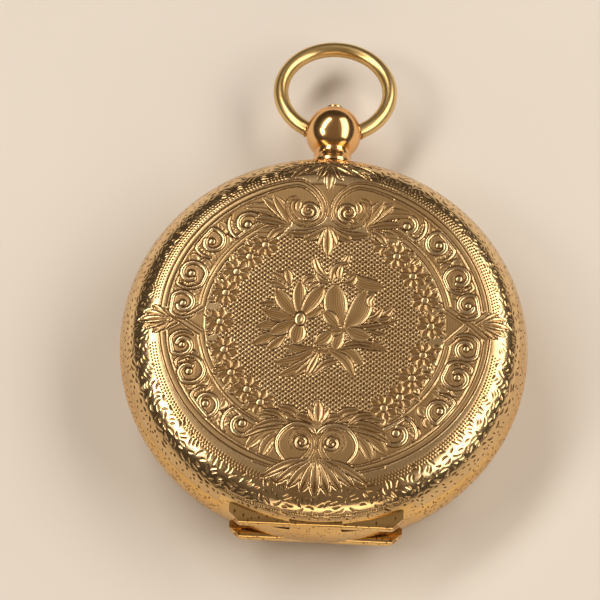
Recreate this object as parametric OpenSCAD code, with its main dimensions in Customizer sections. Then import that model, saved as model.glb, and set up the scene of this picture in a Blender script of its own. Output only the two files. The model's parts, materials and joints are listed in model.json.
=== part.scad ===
// Key-wind pocket watch: an engraved hunter case with its movement, lying on its back cover.
// Millimetres. +Z runs up through the front cover, +Y toward the pendant, +X toward three o'clock.
// The origin is the centre of the back cover's flat resting face.

/* [Case] */
// Distance from the mainplate's edge to the outside of the case band
case_wall = 3.1; // [3.05:0.01:3.3]
// Thickness of the closed case
case_t = 12; // [11.9:0.05:12.3]
// Wall of the front and back covers
cover_wall = 0.45; // [0.4:0.01:0.5]
// Height of the band between the two cover joints
band_h = 4.2; // [4.15:0.05:4.3]
// How far the band bulges beyond its own edges
band_bulge = 0.3; // [0.2:0.05:0.35]
// Radius of the rounded shoulder of each cover
shoulder_r = 5; // [4.8:0.1:5.2]
// Rise of the front cover's dome above its shoulder
dome_h = 0.3; // [0.2:0.05:0.4]
// Distance from the front cover's edge in to the plain frame ring
frame_in = 4.4; // [4:0.1:5]
// Width of the plain frame ring
frame_w = 0.9; // [0.6:0.1:1.1]
// Depth of the plain frame ring
frame_d = 0.08; // [0.05:0.01:0.12]

/* [Hinges] */
// Half length of the cover hinges
hinge_l = 9.4; // [8.8:0.1:9.8]
// Radius of a hinge knuckle
knuckle_r = 0.65; // [0.62:0.01:0.7]
// How far the hinge axes lie inside the covers' edges
hinge_in = 0.65; // [0.6:0.05:0.7]
// How far the hinge's ends are cut back, at 45 degrees
hinge_mitre = 0.65; // [0.5:0.05:0.8]
// Radius of the hinge pins
hinge_pin_r = 0.3; // [0.25:0.01:0.32]

/* [Pendant and bow] */
// Distance from the case band out to the pendant ball's centre
ball_out = 4.1; // [4.05:0.05:4.3]
// Radius of the pendant ball
ball_r = 3.15; // [3.05:0.05:3.2]
// Outer radius of the bow's ring
bow_r = 7.05; // [6.95:0.05:7.15]
// Radius of the bow's wire
bow_wire_r = 0.85; // [0.75:0.05:0.9]
// Distance from the bow's pivots to the centre of its ring
bow_reach = 5.9; // [5.8:0.05:6]
// Angle by which the bow dips toward the table
bow_dip = 10; // [6:1:12]
// Radius of the push button's cap
button_r = 1.05; // [1:0.05:1.2]
// Height of the button above the ball
button_out = 0.25; // [0.2:0.05:0.4]

/* [Movement] */
// Distance of the balance from the watch's centre
balance_reach = 11.8; // [11.75:0.05:11.9]
// Room round the balance wheel, up to the mainplate's edge
balance_room = 1.6; // [1.5:0.05:1.7]
// Thickness of the mainplate
plate_t = 1.2; // [1.1:0.05:1.25]
// Thickness of the bridges and cocks
bar_t = 0.9; // [0.8:0.05:0.95]
// Across the flats of the winding square
wind_square = 1.3; // [1.2:0.05:1.4]
// Across the flats of the hand-setting square
set_square = 1.1; // [1:0.05:1.2]
// Radius of the two keyholes in the dust cover
keyhole_r = 1.9; // [1.8:0.05:2]
// Outer radius of the balance wheel's rim
balance_r = 6; // [5.8:0.1:6.1]
// Turns of the hairspring
hair_turns = 4; // [3.5:0.5:4]
// Turns of the mainspring
main_turns = 5; // [4:0.5:5.5]

/* [Hidden] */
eps = 0.01;
seat = 0.005;
run = 0.04;
gap = 0.03;
fn_case = 64;
fn_arc = 32;
fn_in = 20;
fn_mid = 32;
fn_small = 16;

// Case levels and radii: the movement sets the mainplate, and the case is built round it
plate_r = balance_reach + balance_r + balance_room;
case_r = plate_r + case_wall;
case_d = 2*case_r;
z_mid = case_t/2;
split_f = z_mid + band_h/2;
split_b = z_mid - band_h/2;
bulge_r = (band_h*band_h/4 + band_bulge*band_bulge)/(2*band_bulge);
edge_r = case_r - band_bulge;
hinge_y = edge_r - hinge_in;
frame_r = edge_r - frame_in;
ball_y = case_r + ball_out;
rest_cut = 0.03;
cz_f = case_t - dome_h - shoulder_r;
cz_b = shoulder_r - rest_cut;
sx_f = edge_r - sqrt(shoulder_r*shoulder_r - pow(split_f - cz_f, 2));
sx_b = edge_r - sqrt(shoulder_r*shoulder_r - pow(split_b - cz_b, 2));
dome_r = (sx_f*sx_f + dome_h*dome_h)/(2*dome_h);
dust_gap = 0.3;
dust_t = 0.35;
dust_top = cover_wall + dust_gap + dust_t;

// Hollows of the band: the movement's ledge, and the channel that holds the two springs
plate_fit = 0.05;
ledge_w = 0.8;
flange_w = 0.45;
chan_w = 1.3;
lip_step = 0.15;
rim_step = 0.8;
ledge_step = 1.3;
ledge_z = split_b + ledge_step;
ledge_r = plate_r - ledge_w;
flange_r = plate_r + plate_fit;
chan_r0 = flange_r + flange_w;
chan_r1 = chan_r0 + chan_w;
chan_z0 = split_b + rim_step;
chan_z1 = split_f - rim_step;
bezel_w = 0.95;
bezel_r = flange_r + bezel_w;
lip_r = chan_r1 - lip_step;
lip_h = 0.85;

// Knuckle joints along the hinges
front_joint = 2.8;
back_joint_a = -3.2;
back_joint_b = 0.35;
back_joint_c = 2.5;
joint_gap = 0.05;
gutter_r = knuckle_r + 0.3;
pin_l = hinge_l - hinge_mitre - hinge_pin_r - 0.1;

// Movement levels, counted up from the back
plate_z = ledge_z;
plate_z1 = plate_z + plate_t;
bar_h = 2.1;
bar_z1 = plate_z - bar_h;
bar_z = bar_z1 - bar_t;
dial_z = chan_z1;
dial_t = 0.4;
dial_r = flange_r - 0.15;
square_z = dust_top + 0.15;
ratchet_t = 0.35;
ratchet_z = bar_z - ratchet_t - 0.05;
hand_t = 0.18;
hand_step = 0.45;
hour_z = dial_z + dial_t + 0.2;
minute_z = hour_z + hand_step;

// Levels of the wheels, counted down from the mainplate
wheel_t = 0.25;
barrel_z0 = plate_z - 1.5;
barrel_z1 = plate_z - 0.2;
centre_z = plate_z - 1.95;
centre_pin_z = plate_z - 0.75;
third_z = plate_z - 1.15;
third_pin_z = plate_z - 2.02;
fourth_z = plate_z - 1.5;
fourth_pin_z = plate_z - 1.27;
escape_z = plate_z - 0.5;
escape_t = 0.2;
escape_pin_z = plate_z - 1.62;
pallet_bar_z = plate_z - 1.05;
pallet_bar_t = 0.35;
balance_z = plate_z - 1.55;
balance_t = 0.4;
roller_z = plate_z - 0.8;
roller_t = 0.2;
hair_z = plate_z - 1.93;
hair_t = 0.18;

// Tooth counts and sizes of the train
barrel_n = 60;
centre_pin_n = 10;
barrel_m = 0.26;
centre_n = 48;
third_pin_n = 6;
centre_m = 0.2;
third_n = 45;
fourth_pin_n = 6;
third_m = 0.186;
fourth_n = 48;
escape_pin_n = 6;
fourth_m = 0.1625;
escape_n = 15;
escape_r = 3.2;
cannon_n = 8;
minute_n = 24;
cannon_m = 0.2;
minute_pin_n = 8;
hour_n = 32;
hour_m = 0.16;
ratchet_n = 24;
ratchet_r = 2.9;

// Plan of the movement
function polar(r, a) = [r*cos(a), r*sin(a)];
function toward(p, q) = atan2(q[1] - p[1], q[0] - p[0]);
barrel_a = 75;
third_a = -45;
fourth_a = -120;
escape_a = 200;
balance_a = 210;
minute_a = -100;
p_barrel = polar((barrel_n + centre_pin_n)*barrel_m/2, barrel_a);
p_third = polar((centre_n + third_pin_n)*centre_m/2, third_a);
p_fourth = p_third + polar((third_n + fourth_pin_n)*third_m/2, fourth_a);
p_escape = p_fourth + polar((fourth_n + escape_pin_n)*fourth_m/2, escape_a);
p_balance = polar(balance_reach, balance_a);
p_minute = polar((cannon_n + minute_n)*cannon_m/2, minute_a);
line_a = toward(p_escape, p_balance);
pallet_d = escape_r/cos(30);
p_pallet = p_escape + polar(pallet_d, line_a);
staff_d = norm(p_balance - p_pallet);
foot_in = 2.4;
f_barrel_1 = polar(plate_r - foot_in, 33);
f_barrel_2 = polar(plate_r - foot_in, 117);
f_centre_1 = polar(plate_r - foot_in - 0.1, 150);
f_centre_2 = polar(plate_r - foot_in - 0.2, -10);
f_third = polar(plate_r - foot_in - 0.5, -38);
f_fourth = polar(plate_r - foot_in - 0.5, -68);
f_escape = polar(plate_r - foot_in - 0.2, -95);
f_balance = polar(plate_r - foot_in - 0.7, 178);
pallet_foot_d = 3.2;
f_pallet_1 = p_pallet + polar(pallet_foot_d, line_a + 90);
f_pallet_2 = p_pallet + polar(pallet_foot_d, line_a - 90);
click_d = 4.3;
p_click = p_barrel + polar(click_d, toward(p_barrel, f_barrel_1) - 12);
foot_r = 1.3;
screw_r = 0.35;
jewel_r = 0.6;
pivot_r = 0.15;
arbor_r = 0.35;

// Teeth: a gap of the driven wheel always faces a tooth of its driver
function teeth(n, m, ph) = [for (i = [0:n - 1]) for (k = [0:3])
    let (r = (k == 0 || k == 3) ? n*m/2 - 1.05*m : n*m/2 + 0.8*m,
        a = ph + (i + [-0.26, -0.12, 0.12, 0.26][k])*360/n) [r*cos(a), r*sin(a)]];
function meshed(phi, ph, na, nb) = phi + 180 - 180/nb + (phi - ph)*na/nb;
barrel_ph = 0;
centre_pin_ph = meshed(barrel_a + 180, barrel_ph, barrel_n, centre_pin_n);
centre_ph = 0;
third_pin_ph = meshed(third_a, centre_ph, centre_n, third_pin_n);
third_ph = 0;
fourth_pin_ph = meshed(fourth_a, third_ph, third_n, fourth_pin_n);
fourth_ph = 0;
escape_pin_ph = meshed(escape_a, fourth_ph, fourth_n, escape_pin_n);
cannon_ph = 0;
minute_ph = meshed(minute_a, cannon_ph, cannon_n, minute_n);
minute_pin_ph = 0;
hour_ph = meshed(minute_a + 180, minute_pin_ph, minute_pin_n, hour_n);
tooth_lean = 9.25;
escape_ph = line_a - tooth_lean;

module at(p, z) {
    translate([p[0], p[1], z])
        children();
}
module drum(p, z0, z1, r, f) {
    at(p, z0)
        cylinder(h = z1 - z0, r = r, $fn = f);
}
module x_drum(x0, x1, z, r) {
    translate([x0, -hinge_y, z])
        rotate([0, 90, 0])
            cylinder(h = x1 - x0, r = r, $fn = fn_mid);
}
module wedge(r, r_max, z0, z1, a0, a1) {
    rotate([0, 0, a0])
        rotate_extrude(angle = a1 - a0, $fn = fn_case)
            translate([r, z0])
                square([r_max - r, z1 - z0]);
}
// A straight bar with round ends, seen in plan
module strip(p, q, w) {
    len = norm(q - p);
    translate(p)
        circle(d = w, $fn = fn_mid);
    translate(q)
        circle(d = w, $fn = fn_mid);
    translate(p)
        rotate(toward(p, q))
            translate([0, -w/2])
                square([len, w]);
}
module gear_plan(n, m, ph, hub, rim, arms, bore) {
    difference() {
        polygon(teeth(n, m, ph));
        crossings(hub, n*m/2 - m - rim, arms, 0.5);
        circle(r = bore, $fn = fn_small);
    }
}
// The windows between a wheel's arms
module crossings(r0, r1, arms, w) {
    difference() {
        circle(r = r1, $fn = fn_arc);
        circle(r = r0, $fn = fn_small);
        for (i = [0:arms - 1])
            rotate(360*i/arms + 20)
                translate([0, -w/2])
                    square([r1 + 1, w]);
    }
}
module spiral_plan(r0, r1, turns, w, steps, a0) {
    n = round(turns*steps);
    outer = [for (i = [0:n]) polar(r0 + (r1 - r0)*i/n + w/2, a0 + 360*i/steps)];
    inner = [for (i = [0:n]) polar(r0 + (r1 - r0)*(n - i)/n - w/2, a0 + 360*(n - i)/steps)];
    polygon(concat(outer, inner));
}

// Outline of the front half of the case, set in by i, from the level of the front joint up
module front_outline(i, f) {
    intersection() {
        union() {
            translate([0, cz_f - 1])
                square([sx_f + 0.2, shoulder_r + dome_h + 2]);
            translate([sx_f, cz_f])
                circle(r = shoulder_r - i, $fn = f);
        }
        translate([0, case_t - dome_r])
            circle(r = dome_r - i, $fn = 360);
        translate([0, split_f + gap])
            square([case_d, case_t]);
    }
}
// Outline of the back half of the case, set in by i, from the level of the back joint down
module back_outline(i, f) {
    intersection() {
        union() {
            translate([0, -1])
                square([sx_b + 0.2, split_b + 1]);
            translate([sx_b, cz_b])
                circle(r = shoulder_r - i, $fn = f);
        }
        translate([0, i])
            square([case_d, split_b - gap - i]);
    }
}
module band_section() {
    difference() {
        intersection() {
            translate([case_d/2 - bulge_r, z_mid])
                circle(r = bulge_r, $fn = 72);
            translate([ledge_r - 1, split_b])
                square([case_d/2, band_h]);
        }
        polygon([[0, 0], [ledge_r, 0], [ledge_r, ledge_z], [chan_r0, ledge_z],
            [chan_r0, chan_z0], [chan_r1, chan_z0], [chan_r1, chan_z1],
            [flange_r, chan_z1], [flange_r, case_t], [0, case_t]]);
    }
}

slot_w = 2.4;
foot_flat = edge_r + 0.1;
tube_r = 1.25;
pendant_foot_r = 2.4;
throat_r = 2;
pivot_hole_r = 0.56;
lock_a = 40;
lift_a = 176;
lift_end = 238;
spring_mid = chan_r0 + 0.8;

module case_middle() {
    color([0.83, 0.62, 0.27])
    difference() {
        union() {
            rotate_extrude($fn = fn_case)
                band_section();
            wedge(chan_r0 - 0.1, chan_r1 + 0.1, chan_z0 - 0.1, chan_z1 + 0.1, 242, 298);
            x_drum(-front_joint, front_joint, split_f, knuckle_r);
            x_drum(back_joint_b, back_joint_c, split_b, knuckle_r);
        }
        // Gutters for the covers' knuckles
        x_drum(-hinge_l - 1, -front_joint, split_f, gutter_r);
        x_drum(front_joint, hinge_l + 1, split_f, gutter_r);
        x_drum(-hinge_l - 1, back_joint_b, split_b, gutter_r);
        x_drum(back_joint_c, hinge_l + 1, split_b, gutter_r);
        x_drum(-front_joint - 1, front_joint + 1, split_f, hinge_pin_r + seat);
        x_drum(back_joint_b - 1, back_joint_c + 1, split_b, hinge_pin_r + seat);
        // Pendant tube, the flat for its foot, and the slot for the lock spring's catch
        translate([0, chan_r0, z_mid])
            rotate([-90, 0, 0])
                cylinder(h = 4, r = tube_r + seat, $fn = fn_mid);
        translate([0, foot_flat, z_mid])
            rotate([-90, 0, 0])
                cylinder(h = 2, r = pendant_foot_r + gap, $fn = fn_mid);
        translate([-slot_w/2, flange_r - 1, chan_z1 - eps])
            cube([slot_w, lip_r - gap - flange_r + 1, 2]);
        // Slot for the lift spring's nose
        wedge(chan_r0, lip_r + 0.25, chan_z1 - eps, split_f + 1, lift_end - 4, lift_end + 0.8);
        drum(polar(spring_mid - 0.1, lock_a), chan_z0 - 0.5, chan_z0 + 1, 0.3 + seat, fn_small);
        rotate([0, 0, lift_a])
            translate([chan_r1 - 1, 0, z_mid])
                rotate([0, 90, 0])
                    cylinder(h = 1.6, r = 0.3 + seat, $fn = fn_small);
    }
}

module front_cover() {
    color([0.85, 0.64, 0.3])
    difference() {
        union() {
            rotate_extrude($fn = fn_case)
                difference() {
                    union() {
                        difference() {
                            front_outline(0, fn_arc);
                            translate([frame_r - frame_w/2, split_f + 1])
                                square([frame_w, shoulder_r]);
                        }
                        front_outline(frame_d, fn_arc);
                    }
                    difference() {
                        front_outline(cover_wall, fn_in);
                        translate([lip_r, split_f])
                            square([2, lip_h]);
                    }
                }
            intersection() {
                hinge_plan();
                union() {
                    cover_leaf(-hinge_l, -front_joint - joint_gap, split_f, 1, lip_r + 0.2);
                    cover_leaf(front_joint + joint_gap, hinge_l, split_f, 1, lip_r + 0.2);
                }
            }
        }
        x_drum(-front_joint - joint_gap, front_joint + joint_gap, split_f, gutter_r);
        x_drum(-hinge_l - 1, hinge_l + 1, split_f, hinge_pin_r + run);
        // Catch for the lock spring's nose, open toward the watch's centre
        translate([-slot_w/2, lip_r - 1, split_f + 0.3])
            cube([slot_w, 1.3, 0.4]);
    }
}
// A knuckle with the block that joins it to its cover; side is 1 above the joint, -1 below
// Plan of a hinge, with mitred ends
module hinge_plan() {
    y_in = hinge_y - hinge_mitre;
    y_out = hinge_y + knuckle_r + gap;
    l_out = hinge_l - (y_out - y_in);
    linear_extrude(height = case_t)
        polygon([[-hinge_l - 1, -hinge_y + 5], [-hinge_l - 1, -y_in + 1], [-hinge_l, -y_in],
            [-l_out, -y_out], [l_out, -y_out], [hinge_l, -y_in], [hinge_l + 1, -y_in + 1],
            [hinge_l + 1, -hinge_y + 5]]);
}

module cover_leaf(x0, x1, z, side, r_in) {
    leaf_h = knuckle_r - gap;
    x_drum(x0, x1, z, knuckle_r);
    difference() {
        translate([x0, -hinge_y, side > 0 ? z + gap : z - gap - leaf_h])
            cube([x1 - x0, 4, leaf_h]);
        translate([0, 0, z - 2])
            cylinder(h = 4, r = r_in, $fn = fn_case);
    }
}

back_leaf_r = edge_r - 0.7;
module back_cover() {
    color([0.85, 0.64, 0.3])
    difference() {
        union() {
            rotate_extrude($fn = fn_case)
                difference() {
                    back_outline(0, fn_arc);
                    back_outline(cover_wall, fn_in);
                    translate([0, split_b - 1])
                        square([edge_r - 1.5, 2]);
                }
            intersection() {
                hinge_plan();
                union() {
                    cover_leaf(-hinge_l, back_joint_a, split_b, -1, back_leaf_r);
                    cover_leaf(back_joint_c + joint_gap, hinge_l, split_b, -1, back_leaf_r);
                }
            }
        }
        x_drum(back_joint_a, back_joint_c + joint_gap, split_b, gutter_r);
        x_drum(-hinge_l - 1, hinge_l + 1, split_b, hinge_pin_r + run);
    }
}

dust_out = cover_wall + dust_gap;
arm_y = edge_r - 1.5;
arm_t = 0.6;
module dust_cover() {
    color([0.8, 0.6, 0.28])
    difference() {
        union() {
            rotate_extrude($fn = fn_case)
                difference() {
                    back_outline(dust_out, fn_arc);
                    difference() {
                        back_outline(dust_out + dust_t, fn_in);
                        translate([arm_y, split_b - 0.45])
                            square([1, 1]);
                    }
                }
            x_drum(back_joint_a + joint_gap, back_joint_b - joint_gap, split_b, knuckle_r);
            translate([back_joint_a + joint_gap, -hinge_y, split_b - arm_t])
                cube([back_joint_b - back_joint_a - 2*joint_gap, hinge_y - arm_y, arm_t - gap]);
        }
        x_drum(back_joint_a, back_joint_b, split_b, hinge_pin_r + run);
        x_drum(back_joint_b - joint_gap, back_joint_c + 2, split_b, gutter_r);
        x_drum(back_joint_a - 2, back_joint_a + joint_gap, split_b, gutter_r);
        drum([0, 0], 0, 2, keyhole_r, fn_mid);
        drum(p_barrel, 0, 2, keyhole_r, fn_mid);
    }
}

crystal_r = flange_r - 1;
crystal_z = split_f + 0.9;
crystal_t = 0.5;
bezel_z1 = crystal_z + crystal_t;
bezel_lip = 0.55;
crystal_rise = 0.65;
crystal_rho = (crystal_r*crystal_r + crystal_rise*crystal_rise)/(2*crystal_rise);
module bezel() {
    color([0.86, 0.66, 0.32])
    difference() {
        rotate_extrude($fn = 48)
            polygon([[flange_r - 0.65, dial_z + dial_t], [flange_r - plate_fit, dial_z + dial_t],
                [flange_r - plate_fit, split_f], [bezel_r, split_f], [bezel_r, split_f + 0.45],
                [crystal_r + bezel_lip, bezel_z1], [crystal_r, bezel_z1],
                [crystal_r, crystal_z], [crystal_r - bezel_lip, crystal_z],
                [crystal_r - bezel_lip, crystal_z - 0.3]]);
        // Room for the lock spring's catch
        translate([-slot_w/2, chan_r0 - 0.1, split_f - eps])
            cube([slot_w, 2, 2]);
    }
}
module crystal() {
    color([0.8, 0.9, 0.95, 0.35])
    rotate_extrude($fn = 48)
        intersection() {
            difference() {
                translate([0, crystal_z + crystal_t + crystal_rise - crystal_rho])
                    circle(r = crystal_rho, $fn = 180);
                translate([0, crystal_z + crystal_rise - crystal_rho])
                    circle(r = crystal_rho, $fn = 180);
            }
            translate([0, crystal_z])
                square([crystal_r - seat, 2]);
        }
}

module front_hinge_pin() {
    color([0.75, 0.56, 0.25])
    x_drum(-pin_l, pin_l, split_f, hinge_pin_r);
}
module back_hinge_pin() {
    color([0.75, 0.56, 0.25])
    x_drum(-pin_l, pin_l, split_b, hinge_pin_r);
}

stem_r = 0.6;
stem_end = spring_mid + 0.25;
cap_floor = ball_y + 1.1;
cap_seat = cap_floor + 0.9;
module pendant() {
    color([0.87, 0.58, 0.36])
    difference() {
        translate([0, 0, z_mid])
            rotate([-90, 0, 0])
                rotate_extrude($fn = fn_mid)
                    difference() {
                        union() {
                            polygon([[0, chan_r1], [tube_r, chan_r1], [tube_r, foot_flat],
                                [pendant_foot_r, foot_flat], [pendant_foot_r, foot_flat + 0.35],
                                [throat_r + 0.22, foot_flat + 0.75],
                                [throat_r + 0.05, foot_flat + 1.25],
                                [throat_r + 0.12, foot_flat + 1.35],
                                [throat_r + 0.12, foot_flat + 1.55],
                                [throat_r, foot_flat + 1.65], [throat_r, ball_y - 1],
                                [0, ball_y - 1]]);
                            intersection() {
                                translate([0, ball_y])
                                    circle(r = ball_r, $fn = fn_arc);
                                translate([0, ball_y - 4])
                                    square([4, 8]);
                            }
                        }
                        translate([0, chan_r1 - 1])
                            square([stem_r + run, ball_y]);
                        translate([0, cap_floor])
                            square([button_r + run, 4]);
                    }
        for (s = [-1, 1])
            translate([s*1.8, ball_y, z_mid])
                rotate([0, s*90, 0])
                    cylinder(h = 4, r = pivot_hole_r, $fn = fn_mid);
    }
}

bow_mid = bow_r - bow_wire_r;
bow_end_a = 70;
bow_pivot_x = 1.9;
// A round wire whose ends are hollowed to the ball and pinned into its sides
module bow() {
    color([0.78, 0.62, 0.3])
    translate([0, ball_y, z_mid])
        rotate([-bow_dip, 0, 0]) {
            difference() {
                translate([0, bow_reach, 0])
                    rotate([0, 0, -bow_end_a])
                        rotate_extrude(angle = 180 + 2*bow_end_a, $fn = fn_case)
                            translate([bow_mid, 0])
                                circle(r = bow_wire_r, $fn = fn_in);
                sphere(r = ball_r + 0.06, $fn = fn_case);
            }
            for (s = [-1, 1])
                translate([s*bow_pivot_x, 0, 0])
                    rotate([0, s*90, 0])
                        cylinder(h = ball_r + 0.2 - bow_pivot_x, r = pivot_hole_r - 0.05,
                            $fn = fn_small);
        }
}

module push_button() {
    color([0.88, 0.6, 0.38])
    translate([0, 0, z_mid])
        rotate([-90, 0, 0])
            rotate_extrude($fn = fn_in)
                polygon([[0, stem_end], [stem_r, stem_end], [stem_r, cap_seat],
                    [button_r, cap_seat], [button_r, ball_y + ball_r + button_out - 0.25],
                    [button_r - 0.25, ball_y + ball_r + button_out],
                    [0, ball_y + ball_r + button_out]]);
}

spring_t = 0.4;
spring_h = 1.4;
spring_z0 = z_mid - spring_h/2;
spring_z1 = z_mid + spring_h/2;
nose_z = split_f + 0.35;
module lock_spring() {
    color([0.55, 0.58, 0.62])
    difference() {
        union() {
            wedge(spring_mid - 0.15, spring_mid + 0.25, spring_z0, spring_z1, lock_a, 96);
            drum(polar(spring_mid - 0.1, lock_a), spring_z0, spring_z1, 0.55, fn_in);
            translate([-0.9, spring_mid - 0.15, spring_z1 - 0.3])
                cube([1.8, spring_t, nose_z + 0.6 - spring_z1]);
            translate([-0.9, spring_mid, nose_z])
                cube([1.8, 0.53, 0.3]);
        }
        drum(polar(spring_mid - 0.1, lock_a), spring_z0 - 1, spring_z1 + 1, 0.3 + run, fn_in);
    }
}
module lift_spring() {
    color([0.55, 0.58, 0.62])
    difference() {
        union() {
            wedge(spring_mid - 0.2, spring_mid + 0.2, spring_z0, spring_z1, lift_a - 3, lift_end);
            wedge(spring_mid - 0.1, lip_r + 0.1, spring_z1 - 0.3, split_f, lift_end - 2.6,
                lift_end - 0.2);
        }
        rotate([0, 0, lift_a])
            translate([spring_mid - 1, 0, z_mid])
                rotate([0, 90, 0])
                    cylinder(h = 2, r = 0.3 + run, $fn = fn_in);
    }
}
// Cheese head on a plain shank, head down at z = 0, shank rising
module screw(head_r, head_h, shank_r, shank_l) {
    difference() {
        cylinder(h = head_h, r = head_r, $fn = fn_in);
        translate([-head_r, -head_r*0.16, -eps])
            cube([2*head_r, head_r*0.32, head_h*0.4]);
    }
    translate([0, 0, head_h - eps])
        cylinder(h = shank_l, r = shank_r, $fn = fn_small);
}
module spring_screws() {
    color([0.3, 0.36, 0.55]) {
        at(polar(spring_mid - 0.1, lock_a), spring_z1 + 0.35)
            rotate([180, 0, 0])
                screw(0.5, 0.3, 0.3, spring_z1 - chan_z0 + 0.4);
        rotate([0, 0, lift_a])
            translate([spring_mid - 0.55, 0, z_mid])
                rotate([0, 90, 0])
                    screw(0.5, 0.3, 0.3, 1.3);
    }
}
dog_a = [8, 188];
dog_r = ledge_r - 0.55;
module case_screws() {
    color([0.3, 0.36, 0.55])
    for (a = dog_a)
        at(polar(dog_r, a), split_b - 0.4)
            screw(0.9, 0.4, 0.4, 2.1);
}

feet_a = [50, 165, 280];
feet_r = plate_r - 2.9;
module dial() {
    color([0.96, 0.95, 0.9])
    at([0, 0], dial_z)
        difference() {
            cylinder(h = dial_t, r = dial_r, $fn = 48);
            translate([0, 0, -1])
                cylinder(h = 3, r = 1, $fn = fn_in);
        }
}
module dial_feet() {
    color([0.72, 0.45, 0.25])
    for (a = feet_a)
        drum(polar(feet_r, a), plate_z + 0.4, dial_z, 0.4, fn_small);
}
// A tapered hand with an open eye near its tip
module hand_plan(len, w, hub, bore) {
    difference() {
        union() {
            circle(r = hub, $fn = fn_in);
            polygon([[0, -w/2], [len*0.72, -w*0.35], [len*0.72, w*0.35], [0, w/2]]);
            translate([len*0.74, 0])
                circle(r = w*1.05, $fn = fn_in);
            polygon([[len*0.76, -w*0.4], [len, -0.06], [len, 0.06], [len*0.76, w*0.4]]);
        }
        translate([len*0.74, 0])
            circle(r = w*0.62, $fn = fn_small);
        circle(r = bore, $fn = fn_in);
    }
}
hour_pipe_r = 0.82;
cannon_tube_r = 0.52;
hour_hand_l = 10.2;
hour_hand_w = 1;
minute_hand_l = 15.4;
minute_hand_w = 0.85;
module hour_hand() {
    color([0.12, 0.16, 0.4])
    at([0, 0], hour_z)
        linear_extrude(hand_t)
            rotate(90 - 305)
                hand_plan(hour_hand_l, hour_hand_w, 1.25, hour_pipe_r);
}
module minute_hand() {
    color([0.12, 0.16, 0.4])
    at([0, 0], minute_z)
        linear_extrude(hand_t)
            rotate(90 - 60)
                hand_plan(minute_hand_l, minute_hand_w, 1, cannon_tube_r);
}
set_arbor_r = 0.3;
module cannon_pinion() {
    color([0.7, 0.72, 0.75])
    difference() {
        union() {
            at([0, 0], plate_z1 + 0.1)
                linear_extrude(0.35)
                    polygon(teeth(cannon_n, cannon_m, cannon_ph));
            drum([0, 0], plate_z1 + 0.1, minute_z + hand_t + 0.1, cannon_tube_r, fn_in);
        }
        drum([0, 0], plate_z, minute_z + 2, set_arbor_r + seat, fn_small);
    }
}
module minute_wheel() {
    color([0.84, 0.68, 0.36])
    at(p_minute, plate_z1 + 0.17)
        difference() {
            union() {
                linear_extrude(0.2)
                    gear_plan(minute_n, cannon_m, minute_ph, 0.8, 0.35, 4, 0.1);
                translate([0, 0, 0.19])
                    linear_extrude(0.48)
                        polygon(teeth(minute_pin_n, hour_m, minute_pin_ph));
            }
            translate([0, 0, -1])
                cylinder(h = 3, r = 0.25 + run, $fn = fn_small);
        }
}
module minute_stud() {
    color([0.7, 0.72, 0.75]) {
        drum(p_minute, plate_z1, dial_z - 0.03, 0.25, fn_small);
    }
}
module hour_wheel() {
    color([0.84, 0.68, 0.36])
    difference() {
        union() {
            at([0, 0], plate_z1 + 0.55)
                linear_extrude(0.2)
                    polygon(teeth(hour_n, hour_m, hour_ph));
            drum([0, 0], plate_z1 + 0.55, hour_z + hand_t + 0.04, hour_pipe_r, fn_in);
        }
        drum([0, 0], plate_z, minute_z + 1, cannon_tube_r + run, fn_in);
    }
}
// The arbor that carries the hands: a square for the key at the back, held by friction
module setting_arbor() {
    color([0.66, 0.68, 0.72]) {
        drum([0, 0], bar_z - 0.3, minute_z + hand_t + 0.1, set_arbor_r, fn_small);
        translate([-set_square/2, -set_square/2, square_z])
            cube([set_square, set_square, bar_z - 0.1 - square_z]);
    }
}

dial_seat_r = dial_r - 1;
module mainplate() {
    color([0.82, 0.68, 0.38])
    difference() {
        union() {
            drum([0, 0], plate_z, plate_z1, plate_r, fn_case);
            rotate_extrude($fn = fn_case)
                translate([dial_seat_r, plate_z1 - 0.1])
                    square([0.9, dial_z - plate_z1 + 0.1]);
        }
        drum([0, 0], plate_z - 1, plate_z1 + 1, 0.6 + run, fn_in);
        drum(p_barrel, plate_z - 1, plate_z + 0.8, 0.6 + run, fn_in);
        for (p = [p_third, p_fourth, p_escape, p_balance, p_pallet])
            drum(p, plate_z - 1, plate_z1 + 1, jewel_r + seat, fn_small);
        for (p = screw_feet)
            drum(p, plate_z - 1, plate_z + 0.7, screw_r + seat, fn_small);
        for (p = pallet_feet)
            drum(p, plate_z - 1, plate_z + 0.5, 0.2 + seat, fn_small);
        for (s = [-1, 1])
            drum(p_pallet + polar(2.4, line_a + s*17), plate_z - 1, plate_z + 0.5, 0.12 + seat, fn_small);
        for (a = feet_a)
            drum(polar(feet_r, a), plate_z + 0.3, plate_z1 + 1, 0.4 + seat, fn_small);
        for (a = dog_a)
            drum(polar(dog_r, a), plate_z - 1, plate_z + 1, 0.4 + seat, fn_small);
    }
}
screw_feet = [f_barrel_1, f_barrel_2, f_centre_1, f_centre_2, f_third, f_fourth, f_escape,
    f_balance];
pallet_feet = [f_pallet_1, f_pallet_2];

barrel_bar_w = 3;
barrel_disc_r = 3.5;
centre_bar_w = 2.6;
centre_disc_r = 1.9;
cock_w = 2.4;
cock_disc_r = 1.3;
balance_disc_r = 2.2;
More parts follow.
